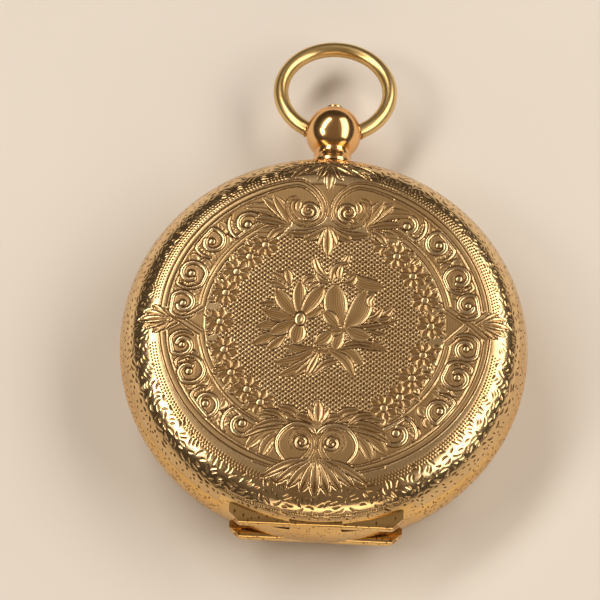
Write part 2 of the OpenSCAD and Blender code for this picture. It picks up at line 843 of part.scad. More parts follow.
// A bar with a pillar at each foot, down to the mainplate, and a sunk seat for its screw
module bar(feet, pivots, w, disc, hole) {
    difference() {
        union() {
            at([0, 0], bar_z)
                linear_extrude(bar_t)
                    union() {
                        for (f = feet)
                            strip(f, pivots[0], w);
                        for (p = pivots)
                            translate(p)
                                circle(r = disc, $fn = fn_mid);
                    }
            for (f = feet)
                drum(f, bar_z1 - 0.1, plate_z, foot_r, fn_in);
        }
        for (p = pivots)
            drum(p, bar_z - 1, bar_z1 + 1, hole, fn_in);
        for (f = feet) {
            drum(f, bar_z - 1, plate_z + 1, screw_r + seat, fn_small);
            drum(f, bar_z - 1, bar_z + 0.35, 0.75, fn_in);
        }
    }
}
module barrel_bridge() {
    color([0.82, 0.68, 0.38])
    difference() {
        bar([f_barrel_1, f_barrel_2], [p_barrel], barrel_bar_w, barrel_disc_r,
            barrel_bush_r + run);
        drum(p_click, bar_z - 1, bar_z + 0.6, 0.3 + seat, fn_small);
    }
}
module centre_bridge() {
    color([0.82, 0.68, 0.38])
    bar([f_centre_1, f_centre_2], [[0, 0]], centre_bar_w, centre_disc_r, centre_bush_r + run);
}
module third_cock() {
    color([0.82, 0.68, 0.38])
    bar([f_third], [p_third], cock_w, cock_disc_r, jewel_r + seat);
}
module fourth_cock() {
    color([0.82, 0.68, 0.38])
    bar([f_fourth], [p_fourth], cock_w, cock_disc_r, jewel_r + seat);
}
module escape_cock() {
    color([0.82, 0.68, 0.38])
    bar([f_escape], [p_escape], cock_w, cock_disc_r, jewel_r + seat);
}
module balance_cock() {
    color([0.82, 0.68, 0.38])
    difference() {
        union() {
            bar([f_balance], [p_balance], centre_bar_w, balance_disc_r, jewel_r + seat);
            // Ear for the hairspring's stud
            difference() {
                at([0, 0], bar_z)
                    linear_extrude(bar_t)
                        strip(p_balance + polar(1.6, stud_a), p_stud, 1);
                drum(p_balance, bar_z - 1, bar_z1 + 1, 1.5, fn_in);
            }
        }
        drum(p_stud, bar_z - 1, bar_z1 + 1, stud_r + seat, fn_small);
    }
}
module pallet_bridge() {
    color([0.82, 0.68, 0.38])
    difference() {
        union() {
            at([0, 0], pallet_bar_z)
                linear_extrude(pallet_bar_t)
                    union() {
                        strip(f_pallet_1, f_pallet_2, 1.3);
                        translate(p_pallet)
                            circle(r = 0.8, $fn = fn_in);
                    }
            for (f = pallet_feet)
                drum(f, pallet_bar_z, plate_z, 0.65, fn_small);
        }
        drum(p_pallet, pallet_bar_z - 1, plate_z, pivot_r + run, fn_small);
        for (f = pallet_feet) {
            drum(f, pallet_bar_z - 1, plate_z + 1, 0.2 + seat, fn_small);
            drum(f, pallet_bar_z - 1, pallet_bar_z + 0.2, 0.45, fn_in);
        }
    }
}
module pallet_screws() {
    color([0.3, 0.36, 0.55])
    for (f = pallet_feet)
        at(f, pallet_bar_z)
            screw(0.4, 0.2, 0.2, plate_z + 0.4 - pallet_bar_z - 0.2);
}
module bridge_screws() {
    color([0.3, 0.36, 0.55])
    for (f = screw_feet)
        at(f, bar_z)
            screw(0.7, 0.35, screw_r, plate_z + 0.6 - bar_z - 0.35);
}

drum_r = 7.5;
drum_wall = 0.4;
barrel_bush_r = 0.9;
centre_bush_r = 0.6;
module barrel() {
    color([0.84, 0.68, 0.36])
    at(p_barrel, 0)
        difference() {
            union() {
                translate([0, 0, barrel_z1 - 0.4])
                    linear_extrude(0.4)
                        polygon(teeth(barrel_n, barrel_m, barrel_ph));
                translate([0, 0, barrel_z0])
                    cylinder(h = 1, r = drum_r, $fn = 48);
            }
            translate([0, 0, barrel_z0 - 1])
                cylinder(h = 2, r = drum_r - drum_wall, $fn = 48);
            cylinder(h = plate_z1, r = centre_bush_r + run, $fn = fn_in);
        }
}
module barrel_cover() {
    color([0.84, 0.68, 0.36])
    at(p_barrel, barrel_z0)
        difference() {
            cylinder(h = 0.2, r = drum_r - drum_wall - seat, $fn = 48);
            translate([0, 0, -1])
                cylinder(h = 3, r = barrel_bush_r + run, $fn = fn_in);
        }
}
hub_r = 1.7;
module mainspring() {
    color([0.45, 0.5, 0.58])
    at(p_barrel, barrel_z0 + 0.28)
        linear_extrude(0.64)
            spiral_plan(hub_r + 0.12, drum_r - 0.53, main_turns, 0.24, 20, 0);
}
module barrel_arbor() {
    color([0.66, 0.68, 0.72])
    at(p_barrel, 0) {
        translate([-wind_square/2, -wind_square/2, square_z])
            cube([wind_square, wind_square, bar_z - square_z]);
        translate([0, 0, bar_z - eps])
            cylinder(h = barrel_z0 + 0.26 - bar_z, r = barrel_bush_r, $fn = fn_in);
        translate([0, 0, barrel_z0 + 0.25])
            cylinder(h = 0.7, r = hub_r, $fn = fn_in);
        translate([0, 0, barrel_z0 + 0.9])
            cylinder(h = plate_z + 0.7 - barrel_z0 - 0.9, r = centre_bush_r, $fn = fn_in);
    }
}
ratchet_ph = 3;
module ratchet_wheel() {
    color([0.62, 0.66, 0.72])
    at(p_barrel, ratchet_z)
        linear_extrude(ratchet_t)
            difference() {
                polygon([for (i = [0:ratchet_n - 1]) for (k = [0, 1])
                    polar(k == 0 ? ratchet_r : ratchet_r - 0.4,
                        ratchet_ph + (i + (k == 0 ? 0 : 0.12))*360/ratchet_n)]);
                square(wind_square + 2*seat, center = true);
            }
}
click_back = toward(p_click, p_barrel);
click_tip = p_barrel + polar(ratchet_r - 0.05, toward(p_barrel, p_click) + 16);
module click() {
    color([0.62, 0.66, 0.72])
    at([0, 0], ratchet_z)
        linear_extrude(ratchet_t)
            difference() {
                union() {
                    translate(p_click)
                        circle(r = 0.75, $fn = fn_in);
                    polygon([p_click + polar(0.7, click_back + 30),
                        p_click + polar(0.7, click_back - 150),
                        click_tip + polar(0.35, click_back + 180), click_tip]);
                }
                translate(p_click)
                    circle(r = 0.3 + run, $fn = fn_small);
            }
}
module click_screw() {
    color([0.3, 0.36, 0.55])
    at(p_click, ratchet_z - 0.3)
        screw(0.6, 0.27, 0.3, bar_z + 0.5 - ratchet_z);
}
p_spring = p_click + polar(2.6, toward(p_barrel, f_barrel_1) + 14);
module click_spring() {
    color([0.45, 0.5, 0.58])
    at([0, 0], ratchet_z)
        linear_extrude(ratchet_t)
            strip(p_spring, p_click + polar(1.05, click_back + 180 + 62), 0.3);
    color([0.45, 0.5, 0.58])
    drum(p_spring, ratchet_z, bar_z, 0.6, fn_small);
}

module centre_wheel() {
    color([0.86, 0.7, 0.34])
    difference() {
        union() {
            at([0, 0], centre_z)
                linear_extrude(wheel_t)
                    gear_plan(centre_n, centre_m, centre_ph, 1.5, 0.45, 5, 0.1);
            at([0, 0], centre_pin_z)
                linear_extrude(0.65)
                    polygon(teeth(centre_pin_n, barrel_m, centre_pin_ph));
            drum([0, 0], bar_z1 + 0.02, plate_z - 0.03, 0.75, fn_in);
            drum([0, 0], bar_z + 0.05, plate_z1 + 0.04, centre_bush_r, fn_in);
        }
        drum([0, 0], 0, dial_z, set_arbor_r + seat, fn_small);
    }
}
// A wheel and its pinion on one arbor, with thin pivots at both ends
module train_wheel(p, n, m, ph, z, hub, rim, arms, pin_n, pin_m, pin_ph, pin_z, pin_h) {
    at(p, z)
        linear_extrude(wheel_t)
            gear_plan(n, m, ph, hub, rim, arms, 0.1);
    at(p, pin_z)
        linear_extrude(pin_h)
            polygon(teeth(pin_n, pin_m, pin_ph));
    drum(p, bar_z1 + 0.04, plate_z - 0.04, arbor_r, fn_small);
    drum(p, bar_z + 0.1, plate_z1 - 0.1, pivot_r, fn_small);
}
module third_wheel() {
    color([0.86, 0.7, 0.34])
    train_wheel(p_third, third_n, third_m, third_ph, third_z, 1.1, 0.4, 5,
        third_pin_n, centre_m, third_pin_ph, third_pin_z, 0.5);
}
module fourth_wheel() {
    color([0.86, 0.7, 0.34])
    train_wheel(p_fourth, fourth_n, fourth_m, fourth_ph, fourth_z, 1, 0.35, 5,
        fourth_pin_n, third_m, fourth_pin_ph, fourth_pin_z, 0.5);
}
module escape_wheel() {
    color([0.7, 0.72, 0.76]) {
        at(p_escape, escape_z)
            linear_extrude(escape_t)
                difference() {
                    polygon([for (i = [0:escape_n - 1]) for (k = [0:3])
                        polar([2.5, escape_r, escape_r, 2.5][k],
                            escape_ph + i*360/escape_n + [0, 8, 10.5, 10][k])]);
                    crossings(0.8, 2.15, 4, 0.4);
                }
        at(p_escape, escape_pin_z)
            linear_extrude(0.48)
                polygon(teeth(escape_pin_n, fourth_m, escape_pin_ph));
        drum(p_escape, bar_z1 + 0.04, plate_z - 0.04, 0.28, fn_small);
        drum(p_escape, bar_z + 0.1, plate_z1 - 0.1, pivot_r, fn_small);
    }
}

// Lever escapement: the two stones dip into the wheel's tip circle 30 degrees off the line of centres
stone_in = 0.12;
stone_l = 0.7;
stone_w = 0.24;
lever_l = 3.9;
function stone_root(s) = p_escape + polar(escape_r - stone_in, line_a + s*30);
module pallet_fork() {
    color([0.7, 0.72, 0.76]) {
        at([0, 0], escape_z)
            linear_extrude(escape_t)
                difference() {
                    union() {
                        translate(p_pallet)
                            circle(r = 0.5, $fn = fn_small);
                        strip(p_pallet, p_pallet + polar(lever_l - 0.7, line_a), 0.32);
                        translate(p_pallet + polar(lever_l - 0.45, line_a))
                            circle(r = 0.45, $fn = fn_small);
                        for (s = [-1, 1])
                            strip(p_pallet, stone_root(s) + polar(stone_l, line_a + s*30), 0.36);
                    }
                    translate(p_pallet)
                        rotate(line_a)
                            translate([lever_l - 0.55, -0.17])
                                square([1, 0.34]);
                    for (s = [-1, 1])
                        translate(stone_root(s))
                            rotate(line_a + s*30)
                                translate([0, -stone_w/2])
                                    square([stone_l - 0.1, stone_w]);
                }
        drum(p_pallet, pallet_bar_z + pallet_bar_t + 0.03, plate_z - 0.04, 0.28, fn_small);
        drum(p_pallet, pallet_bar_z + 0.05, plate_z1 - 0.1, pivot_r, fn_small);
    }
}
module pallet_stones() {
    color([0.75, 0.1, 0.2])
    for (s = [-1, 1])
        at(stone_root(s), escape_z)
            rotate([0, 0, line_a + s*30])
                translate([0, -stone_w/2, 0])
                    cube([stone_l - 0.1, stone_w, escape_t]);
}
module banking_pins() {
    color([0.8, 0.7, 0.4])
    for (s = [-1, 1])
        drum(p_pallet + polar(2.4, line_a + s*17), escape_z - 0.1, plate_z + 0.5, 0.12, fn_small);
}

staff_r = 0.4;
module balance_wheel() {
    color([0.88, 0.7, 0.36])
    at(p_balance, balance_z)
        difference() {
            cylinder(h = balance_t, r = balance_r, $fn = 48);
            translate([0, 0, -1])
                linear_extrude(3)
                    crossings(1.3, balance_r - 0.7, 3, 0.8);
            translate([0, 0, 0.2])
                difference() {
                    cylinder(h = 1, r = balance_r - 0.7, $fn = fn_arc);
                    cylinder(h = 1, r = 1.3, $fn = fn_small);
                }
            translate([0, 0, -1])
                cylinder(h = 3, r = staff_r + seat, $fn = fn_small);
        }
}
balance_screw_n = 10;
module balance_screws() {
    color([0.9, 0.74, 0.4])
    at(p_balance, balance_z + balance_t/2)
        for (i = [0:balance_screw_n - 1])
            rotate([0, 0, 360*(i + 0.5)/balance_screw_n])
                translate([balance_r - 0.01, 0, 0])
                    rotate([0, 90, 0])
                        cylinder(h = 0.35, r = 0.17, $fn = fn_small);
}
module balance_staff() {
    color([0.66, 0.68, 0.72]) {
        drum(p_balance, bar_z1 + 0.05, plate_z - 0.05, staff_r, fn_small);
        drum(p_balance, bar_z + 0.1, plate_z1 - 0.1, pivot_r, fn_small);
    }
}
roller_r = 1.3;
impulse_d = 1.04;
module roller() {
    color([0.66, 0.68, 0.72])
    difference() {
        union() {
            drum(p_balance, roller_z, roller_z + roller_t, roller_r, fn_in);
            drum(p_balance + polar(impulse_d, line_a + 180), roller_z + roller_t - 0.05,
                escape_z + escape_t + 0.05, 0.12, fn_small);
        }
        drum(p_balance, roller_z - 1, plate_z, staff_r + seat, fn_small);
    }
}
hair_r0 = 0.75;
hair_r1 = 2.95;
hair_w = 0.1;
stud_a = 300;
stud_r = 0.2;
p_stud = p_balance + polar(hair_r1 + hair_w/2 + stud_r, stud_a);
module hairspring() {
    color([0.25, 0.32, 0.6]) {
        at(p_balance, hair_z)
            linear_extrude(hair_t)
                spiral_plan(hair_r0, hair_r1, hair_turns, hair_w, 20, stud_a);
        // Collet
        at(p_balance, hair_z)
            difference() {
                cylinder(h = hair_t, r = hair_r0, $fn = fn_in);
                translate([0, 0, -1])
                    cylinder(h = 3, r = staff_r + seat, $fn = fn_small);
            }
    }
}
module hairspring_stud() {
    color([0.66, 0.68, 0.72])
    drum(p_stud, bar_z, hair_z + 0.3, stud_r, fn_small);
}
// The index: a ring on the balance cock, a pointer, and two curb pins astride the outer turn
reg_a = 30;
curb_r = hair_r0 + (hair_r1 - hair_r0)*(1 - (stud_a - reg_a - 180)/(360*hair_turns));
module regulator() {
    color([0.62, 0.66, 0.72]) {
        at(p_balance, bar_z - 0.25)
            linear_extrude(0.24)
                difference() {
                    union() {
                        circle(r = 1.5, $fn = fn_in);
                        strip([0, 0], polar(4.2, reg_a), 0.5);
                        strip([0, 0], polar(curb_r, reg_a + 180), 0.6);
                    }
                    circle(r = 0.95, $fn = fn_in);
                }
        for (s = [-1, 1])
            drum(p_balance + polar(curb_r + s*0.2, reg_a + 180), bar_z - 0.1, hair_z + 0.2,
                0.08, fn_small);
    }
}
// Bearing stones, set flush in the plate and the cocks
module jewels() {
    color([0.8, 0.15, 0.3]) {
        for (p = [p_third, p_fourth, p_escape, p_balance])
            jewel(p, bar_z + 0.1, bar_z1);
        for (p = [p_third, p_fourth, p_escape, p_balance, p_pallet])
            jewel(p, plate_z, plate_z1 - 0.1);
    }
}
module jewel(p, z0, z1) {
    at(p, z0)
        difference() {
            cylinder(h = z1 - z0, r = jewel_r, $fn = fn_small);
            translate([0, 0, -1])
                cylinder(h = 3, r = pivot_r + run, $fn = fn_small);
        }
}

case_middle();
front_cover();
back_cover();
dust_cover();
bezel();
crystal();
front_hinge_pin();
back_hinge_pin();
pendant();
bow();
push_button();
lock_spring();
lift_spring();
spring_screws();
case_screws();
dial();
dial_feet();
hour_hand();
minute_hand();
cannon_pinion();
minute_wheel();
minute_stud();
hour_wheel();
setting_arbor();
mainplate();
barrel_bridge();
centre_bridge();
third_cock();
fourth_cock();
escape_cock();
balance_cock();
pallet_bridge();
pallet_screws();
bridge_screws();
barrel();
barrel_cover();
mainspring();
barrel_arbor();
ratchet_wheel();
click();
click_screw();
click_spring();
centre_wheel();
third_wheel();
fourth_wheel();
escape_wheel();
pallet_fork();
pallet_stones();
banking_pins();
balance_wheel();
balance_screws();
balance_staff();
roller();
hairspring();
hairspring_stud();
regulator();
jewels();
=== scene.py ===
# %% [markdown]
# A key-wind pocket watch in an engraved gold hunter case, lying on its back cover. This script
# gives the looks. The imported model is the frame: every CAD node stays where it is and gets a
# material, and the engraved parts of the case get a finely cut skin of their own.

# %% Load the frame
import copy
import json
import math
import bmesh
import bpy
import numpy as np
from mathutils import Matrix, Vector


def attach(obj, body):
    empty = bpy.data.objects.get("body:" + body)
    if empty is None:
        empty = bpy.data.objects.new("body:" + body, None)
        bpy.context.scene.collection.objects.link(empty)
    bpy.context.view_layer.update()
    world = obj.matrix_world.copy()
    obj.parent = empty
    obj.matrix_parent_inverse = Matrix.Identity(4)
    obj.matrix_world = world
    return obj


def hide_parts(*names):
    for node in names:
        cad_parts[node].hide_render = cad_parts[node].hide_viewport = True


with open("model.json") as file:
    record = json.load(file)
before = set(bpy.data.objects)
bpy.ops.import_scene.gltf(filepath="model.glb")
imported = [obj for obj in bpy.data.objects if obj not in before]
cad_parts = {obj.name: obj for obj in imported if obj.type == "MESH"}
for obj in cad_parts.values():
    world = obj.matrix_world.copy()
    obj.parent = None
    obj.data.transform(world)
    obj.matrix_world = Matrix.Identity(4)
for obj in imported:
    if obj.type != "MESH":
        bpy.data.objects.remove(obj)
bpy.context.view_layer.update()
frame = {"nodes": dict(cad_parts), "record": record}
nodes = frame["nodes"]
MM = 0.001
scene = bpy.context.scene
print("nodes", len(nodes))

# %% [markdown]
# The camera stands where the photographer did. One could turn a camera by hand until the picture
# looks right. Here its elevation, lean, distance and focal length are four plain numbers, fitted
# to the outline of the case, the ball and the hinge, so that the two pictures can be laid over
# each other.

# %% Camera
ELEVATION = math.radians(66.2)
LEAN = math.radians(2.62)
DISTANCE = 0.4467
FOCAL_PX, PHOTO_PX = 3997.0, 600
ORIGIN_PX = (322.7, 370.0)
SENSOR_MM = 36

def make_camera():
    """Looks along the fitted line of sight, with the watch's origin at ORIGIN_PX."""
    back = Vector((0, -math.cos(ELEVATION), math.sin(ELEVATION)))
    side = Vector((1, 0, 0))
    rise = Vector((0, math.sin(ELEVATION), math.cos(ELEVATION)))
    du, dw = PHOTO_PX / 2 - ORIGIN_PX[0], ORIGIN_PX[1] - PHOTO_PX / 2
    u = du * math.cos(LEAN) - dw * math.sin(LEAN)
    w = du * math.sin(LEAN) + dw * math.cos(LEAN)
    look = (side * u + rise * w - back * FOCAL_PX).normalized()
    up = rise * math.cos(LEAN) - side * math.sin(LEAN)
    right = look.cross(up).normalized()
    up = right.cross(look)
    data = bpy.data.cameras.new("camera")
    data.sensor_width = SENSOR_MM
    data.lens = FOCAL_PX * SENSOR_MM / PHOTO_PX
    data.clip_start, data.clip_end = 0.01, 10
    cam = bpy.data.objects.new("camera", data)
    scene.collection.objects.link(cam)
    turn = Matrix((right, up, -look)).transposed().to_4x4()
    cam.matrix_world = Matrix.Translation(back * DISTANCE) @ turn
    scene.camera = cam

make_camera()
print("camera", DISTANCE, "m away")

# %% [markdown]
# Old gold is never one colour. It has a slow drift of tone, fine scratches that show only in the
# reflections, and dark grime that stays in the cuts when the high places are wiped. A picture
# could be wrapped round the model for that. Noise in the object's own space needs no picture and
# keeps its real size wherever the piece turns. A soot value on the skins darkens the cuts: partly
# that grime, partly painted shade in the recesses, with a painted highlight on the raised ridges.

# %% Node helpers
def link(tree, a, out, b, socket):
    tree.links.new(a.outputs[out], b.inputs[socket])

def noise_node(tree, where, scale, detail, rough=0.5):
    """Noise in the object's own space."""
    n = tree.nodes.new("ShaderNodeTexNoise")
    n.inputs["Scale"].default_value = scale
    n.inputs["Detail"].default_value = detail
    n.inputs["Roughness"].default_value = rough
    link(tree, where, "Object", n, "Vector")
    return n

def ramp_node(tree, src, out, stops):
    """A colour ramp with the given (place, colour) stops."""
    r = tree.nodes.new("ShaderNodeValToRGB")
    e = r.color_ramp.elements
    while len(e) < len(stops):
        e.new(0.5)
    for k, (at, colour) in enumerate(stops):
        e[k].position = at
        e[k].color = (*colour, 1)
    link(tree, src, out, r, "Fac")
    return r

# %% A material with two tones
def tinted(name, deep, light, scale, detail, edges=(0.3, 0.7)):
    """A material whose colour drifts between two tones, with its tree, shader, space and tone."""
    m = bpy.data.materials.new(name)
    m.use_nodes = True
    tree = m.node_tree
    tree.nodes.clear()
    out = tree.nodes.new("ShaderNodeOutputMaterial")
    shader = tree.nodes.new("ShaderNodeBsdfPrincipled")
    link(tree, shader, "BSDF", out, "Surface")
    where = tree.nodes.new("ShaderNodeTexCoord")
    drift = noise_node(tree, where, scale, detail)
    tone = ramp_node(tree, drift, "Fac", [(edges[0], deep), (edges[1], light)])
    link(tree, tone, "Color", shader, "Base Color")
    return m, tree, shader, where, tone

def darken(tree, tone, dark, shader):
    """Multiplies the tone by a second ramp on its way to the shader."""
    mix = tree.nodes.new("ShaderNodeMix")
    mix.data_type, mix.blend_type = "RGBA", "MULTIPLY"
    mix.inputs[0].default_value = 1.0
    tree.links.new(tone.outputs["Color"], mix.inputs[6])
    tree.links.new(dark.outputs["Color"], mix.inputs[7])
    tree.links.new(mix.outputs[2], shader.inputs["Base Color"])

# %% A worn metal
# Grime and painted shade in the cuts: the higher the soot value, the darker the tone
GRIME_AND_SHADE = [(0.0, (1, 1, 1)), (0.12, (0.83, 0.79, 0.72)), (0.35, (0.50, 0.42, 0.32)),
         (0.6, (0.25, 0.18, 0.115)), (1.0, (0.085, 0.055, 0.03))]
TICKS = [(0.0, (0.22, 0.15, 0.09)), (0.16, (0.30, 0.22, 0.14)), (0.26, (1, 1, 1))]
TICK_SCALE, SOOT_AND_SHADE_DULLS = 2300, 0.4

def metal(name, light, deep, rough, spread=0.08, blotch=250, scratch=6000, bump=0.0,
          engraved=False, ticked=False):
    """A worn metal: light and deep are its two tones; rough and spread its roughness."""
    m, t, b, where, tone = tinted(name, deep, light, blotch, 3, (0.35, 0.65))
    b.inputs["Metallic"].default_value = 1.0
    fine = noise_node(t, where, scratch, 3, 0.7)
    shine = t.nodes.new("ShaderNodeMapRange")
    shine.inputs["To Min"].default_value = max(0.02, rough - spread)
    shine.inputs["To Max"].default_value = rough + spread
    link(t, fine, "Fac", shine, "Value")
    link(t, shine, "Result", b, "Roughness")
    if ticked:
        turned = t.nodes.new("ShaderNodeMapping")
        turned.inputs["Rotation"].default_value = (0.4, 0.3, 0.7)
        turned.inputs["Scale"].default_value = (1.0, 0.42, 1.0)
        link(t, where, "Object", turned, "Vector")
        cell = t.nodes.new("ShaderNodeTexVoronoi")
        cell.inputs["Scale"].default_value = TICK_SCALE
        link(t, turned, "Vector", cell, "Vector")
        darken(t, tone, ramp_node(t, cell, "Distance", TICKS), b)
    # engraved: the soot value darkens the tone, as real grime in the cuts and painted shade in the
    # recesses, and dulls the roughness
    if engraved:
        soot_and_shade = t.nodes.new("ShaderNodeAttribute")
        soot_and_shade.attribute_name = "soot_and_shade"
        darken(t, tone, ramp_node(t, soot_and_shade, "Fac", GRIME_AND_SHADE), b)
        dull = t.nodes.new("ShaderNodeMath")
        dull.operation = "MULTIPLY_ADD"
        dull.inputs[1].default_value = SOOT_AND_SHADE_DULLS
        link(t, soot_and_shade, "Fac", dull, 0)
        link(t, shine, "Result", dull, 2)
        link(t, dull, "Value", b, "Roughness")
    if bump:
        rise = t.nodes.new("ShaderNodeBump")
        rise.inputs["Strength"].default_value = bump
        rise.inputs["Distance"].default_value = 0.02 * MM
        link(t, fine, "Fac", rise, "Height")
        link(t, rise, "Normal", b, "Normal")
    return m

# %% [markdown]
# Four golds: a warm one on the band, one with dark ticks round the hinge, a bright one on the
# polished shoulder and a satin one on the flat of the covers, where the gold was cut. The pendant
# is redder and the bow duller, as in the photograph. The movement is gilt brass, with steel and
# blued steel parts.

# %% Golds, brass and steels
WORN = metal("band_gold", (1.0, 0.66, 0.25), (0.95, 0.59, 0.20), 0.24, 0.06, engraved=True)
TICKED = metal("ticked_gold", (0.85, 0.56, 0.225), (0.80, 0.50, 0.185), 0.24, 0.06, ticked=True)
GOLD = metal("engraved_gold", (0.96, 0.71, 0.40), (0.88, 0.62, 0.33), 0.16, 0.06, engraved=True)
SATIN = metal("satin_gold", (0.97, 0.73, 0.43), (0.90, 0.65, 0.36), 0.24, 0.07, engraved=True)
PLAIN = metal("plain_gold", (0.86, 0.62, 0.31), (0.78, 0.54, 0.26), 0.25, 0.08, bump=0.25)
ROSE = metal("rose_gold", (0.93, 0.57, 0.25), (0.86, 0.48, 0.19), 0.18, 0.05, blotch=180)
BOW = metal("bow_gold", (0.84, 0.60, 0.26), (0.70, 0.47, 0.18), 0.30, 0.06, 220, bump=0.2)
GILT = metal("gilt_plate", (0.88, 0.70, 0.38), (0.82, 0.63, 0.32), 0.38, 0.06, 250, 14000, 0.5)
WHEEL = metal("wheel_brass", (0.86, 0.66, 0.32), (0.80, 0.59, 0.27), 0.24, 0.06, 250, 9000, 0.2)
STEEL = metal("polished_steel", (0.62, 0.63, 0.65), (0.54, 0.55, 0.58), 0.2, 0.06, 250, 9000)
SPRING = metal("spring_steel", (0.42, 0.43, 0.46), (0.34, 0.35, 0.38), 0.34, 0.08)
BLUED = metal("blued_steel", (0.06, 0.10, 0.36), (0.05, 0.06, 0.24), 0.22, 0.05, 600)
COPPER = metal("copper", (0.80, 0.43, 0.28), (0.70, 0.36, 0.22), 0.32, 0.06)
print("metals:", [m.name for m in bpy.data.materials])

# %% [markdown]
# The crystal is clear glass, and the jewels are ruby. Both are the same shader with another tint
# and index, because both bend light.

# %% Glass and ruby
def glassy(name, tint, rough=0.0, ior=1.52):
    light = tuple(min(1, c * 1.03) for c in tint)
    m, _, shader, _, _ = tinted(name, tint, light, 4000, 2)
    shader.inputs["Transmission Weight"].default_value = 1.0
    shader.inputs["IOR"].default_value = ior
    shader.inputs["Roughness"].default_value = rough
    return m

GLASS = glassy("watch_glass", (0.97, 0.985, 0.98))
RUBY = glassy("ruby", (0.75, 0.04, 0.12), 0.05, 1.76)
print("clear materials:", GLASS.name, RUBY.name)

# %% [markdown]
# The dial is copper under fired enamel: white, a little warm, with a glossy coat. Its figures are
# black enamel, so one helper makes both.

# %% Enamel
def enamel(name, deep, light, rough, coat):
    m, _, shader, _, _ = tinted(name, deep, light, 900, 3)
    shader.inputs["Roughness"].default_value = rough
    shader.inputs["Coat Weight"].default_value = coat
    return m

ENAMEL = enamel("enamel", (0.86, 0.85, 0.79), (0.90, 0.89, 0.84), 0.12, 0.4)
PAINT = enamel("black_enamel", (0.012, 0.012, 0.015), (0.03, 0.028, 0.03), 0.25, 0.2)
print("enamels:", ENAMEL.name, PAINT.name)

# %% [markdown]
# Each piece in the record names its material slot. A table from slot to material dresses all of
# them in one loop, which is safer than one line for each of the 57 nodes.

# %% Dress every node
FINISH = {
    "yellow_gold": PLAIN, "rose_gold": ROSE, "bow_gold": BOW, "crystal": GLASS,
    "enamel": ENAMEL, "copper": COPPER, "gilt_brass": GILT, "wheel_brass": WHEEL,
    "polished_steel": STEEL, "spring_steel": SPRING, "blued_steel": BLUED, "ruby": RUBY,
}
for part in frame["record"]["subparts"]:
    ob = nodes[part["node"]]
    ob.data.materials.clear()
    ob.data.materials.append(FINISH[part["material_slot"]])
print("materials", len(bpy.data.materials))

# %% [markdown]
# Gold shows what stands round it. Broad bright panels at the left and right give the long light
# streaks on the shoulder, and a dark brown surrounding gives the dark parts between. A plain
# cream floor stands for the cloth of the photograph.

# %% Floor
FLOOR_HALF = 1.2

def make_floor():
    m, _, shader, _, _ = tinted("floor_cream", (0.78, 0.725, 0.655), (0.82, 0.765, 0.695), 12, 4)
    shader.inputs["Roughness"].default_value = 0.75
    mesh = bpy.data.meshes.new("floor")
    s = FLOOR_HALF
    mesh.from_pydata([(-s, -s, 0), (s, -s, 0), (s, s, 0), (-s, s, 0)], [], [(0, 1, 2, 3)])
    mesh.materials.append(m)
    ob = bpy.data.objects.new("floor", mesh)
    scene.collection.objects.link(ob)

make_floor()
print("floor", 2 * FLOOR_HALF, "m wide")

# %% The dark brown surroundings, lighter above
SKY = [(0.0, (0.05, 0.04, 0.03)), (0.48, (0.055, 0.044, 0.033)), (0.70, (0.15, 0.115, 0.085)),
       (0.84, (0.18, 0.138, 0.10)), (1.0, (0.18, 0.138, 0.10))]
world = bpy.data.worlds.new("studio")
world.use_nodes = True
scene.world = world
tree = world.node_tree
backdrop = tree.nodes["Background"]
backdrop.inputs["Strength"].default_value = 1.0
around = tree.nodes.new("ShaderNodeTexCoord")
height = tree.nodes.new("ShaderNodeSeparateXYZ")
link(tree, around, "Generated", height, "Vector")
link(tree, ramp_node(tree, height, "Z", SKY), "Color", backdrop, "Color")
print("world", world.name)

# %% Panels of light
# name, place in m, width and height in m, power in W, colour
PANELS = (
    ("key_left", (-0.30, 0.24, 0.49), (0.50, 0.14), 1.45, (1.0, 0.95, 0.88)),
    ("fill_right", (0.41, 0.09, 0.38), (0.85, 0.26), 2.6, (1.0, 0.94, 0.86)),
    ("low_left", (-0.43, -0.09, 0.40), (0.26, 0.13), 0.8, (1.0, 0.93, 0.84)),
    ("front_low", (0.04, -0.58, 0.25), (0.50, 0.14), 0.55, (1.0, 0.84, 0.64)))
for name, spot, size, power, colour in PANELS:
    lamp = bpy.data.lights.new(name, "AREA")
    lamp.shape = "RECTANGLE"
    lamp.size, lamp.size_y = size
    lamp.energy, lamp.color = power, colour
    panel = bpy.data.objects.new(name, lamp)
    scene.collection.objects.link(panel)
    panel.location = spot
    panel.rotation_euler = (-Vector(spot)).to_track_quat("-Z", "Y").to_euler()
print("panels", len(PANELS))

# %% [markdown]
# An engraver cuts line by line. The ornament could be modelled as thousands of small meshes, or
# painted. Here every line is a stroke on a height map in mm: a path, a width along it and a
# profile across it, as a graver cuts it. The map is then pressed into a fine mesh.

# %% Seeded random numbers, and points by bearing
rng = np.random.default_rng(1871)

def polar(r, deg, cx=0.0, cy=0.0):
    a = math.radians(deg)
    return (cx + r * math.cos(a), cy + r * math.sin(a))

print("bearing 90 is the pendant side:", [round(v, 3) for v in polar(1, 90)])

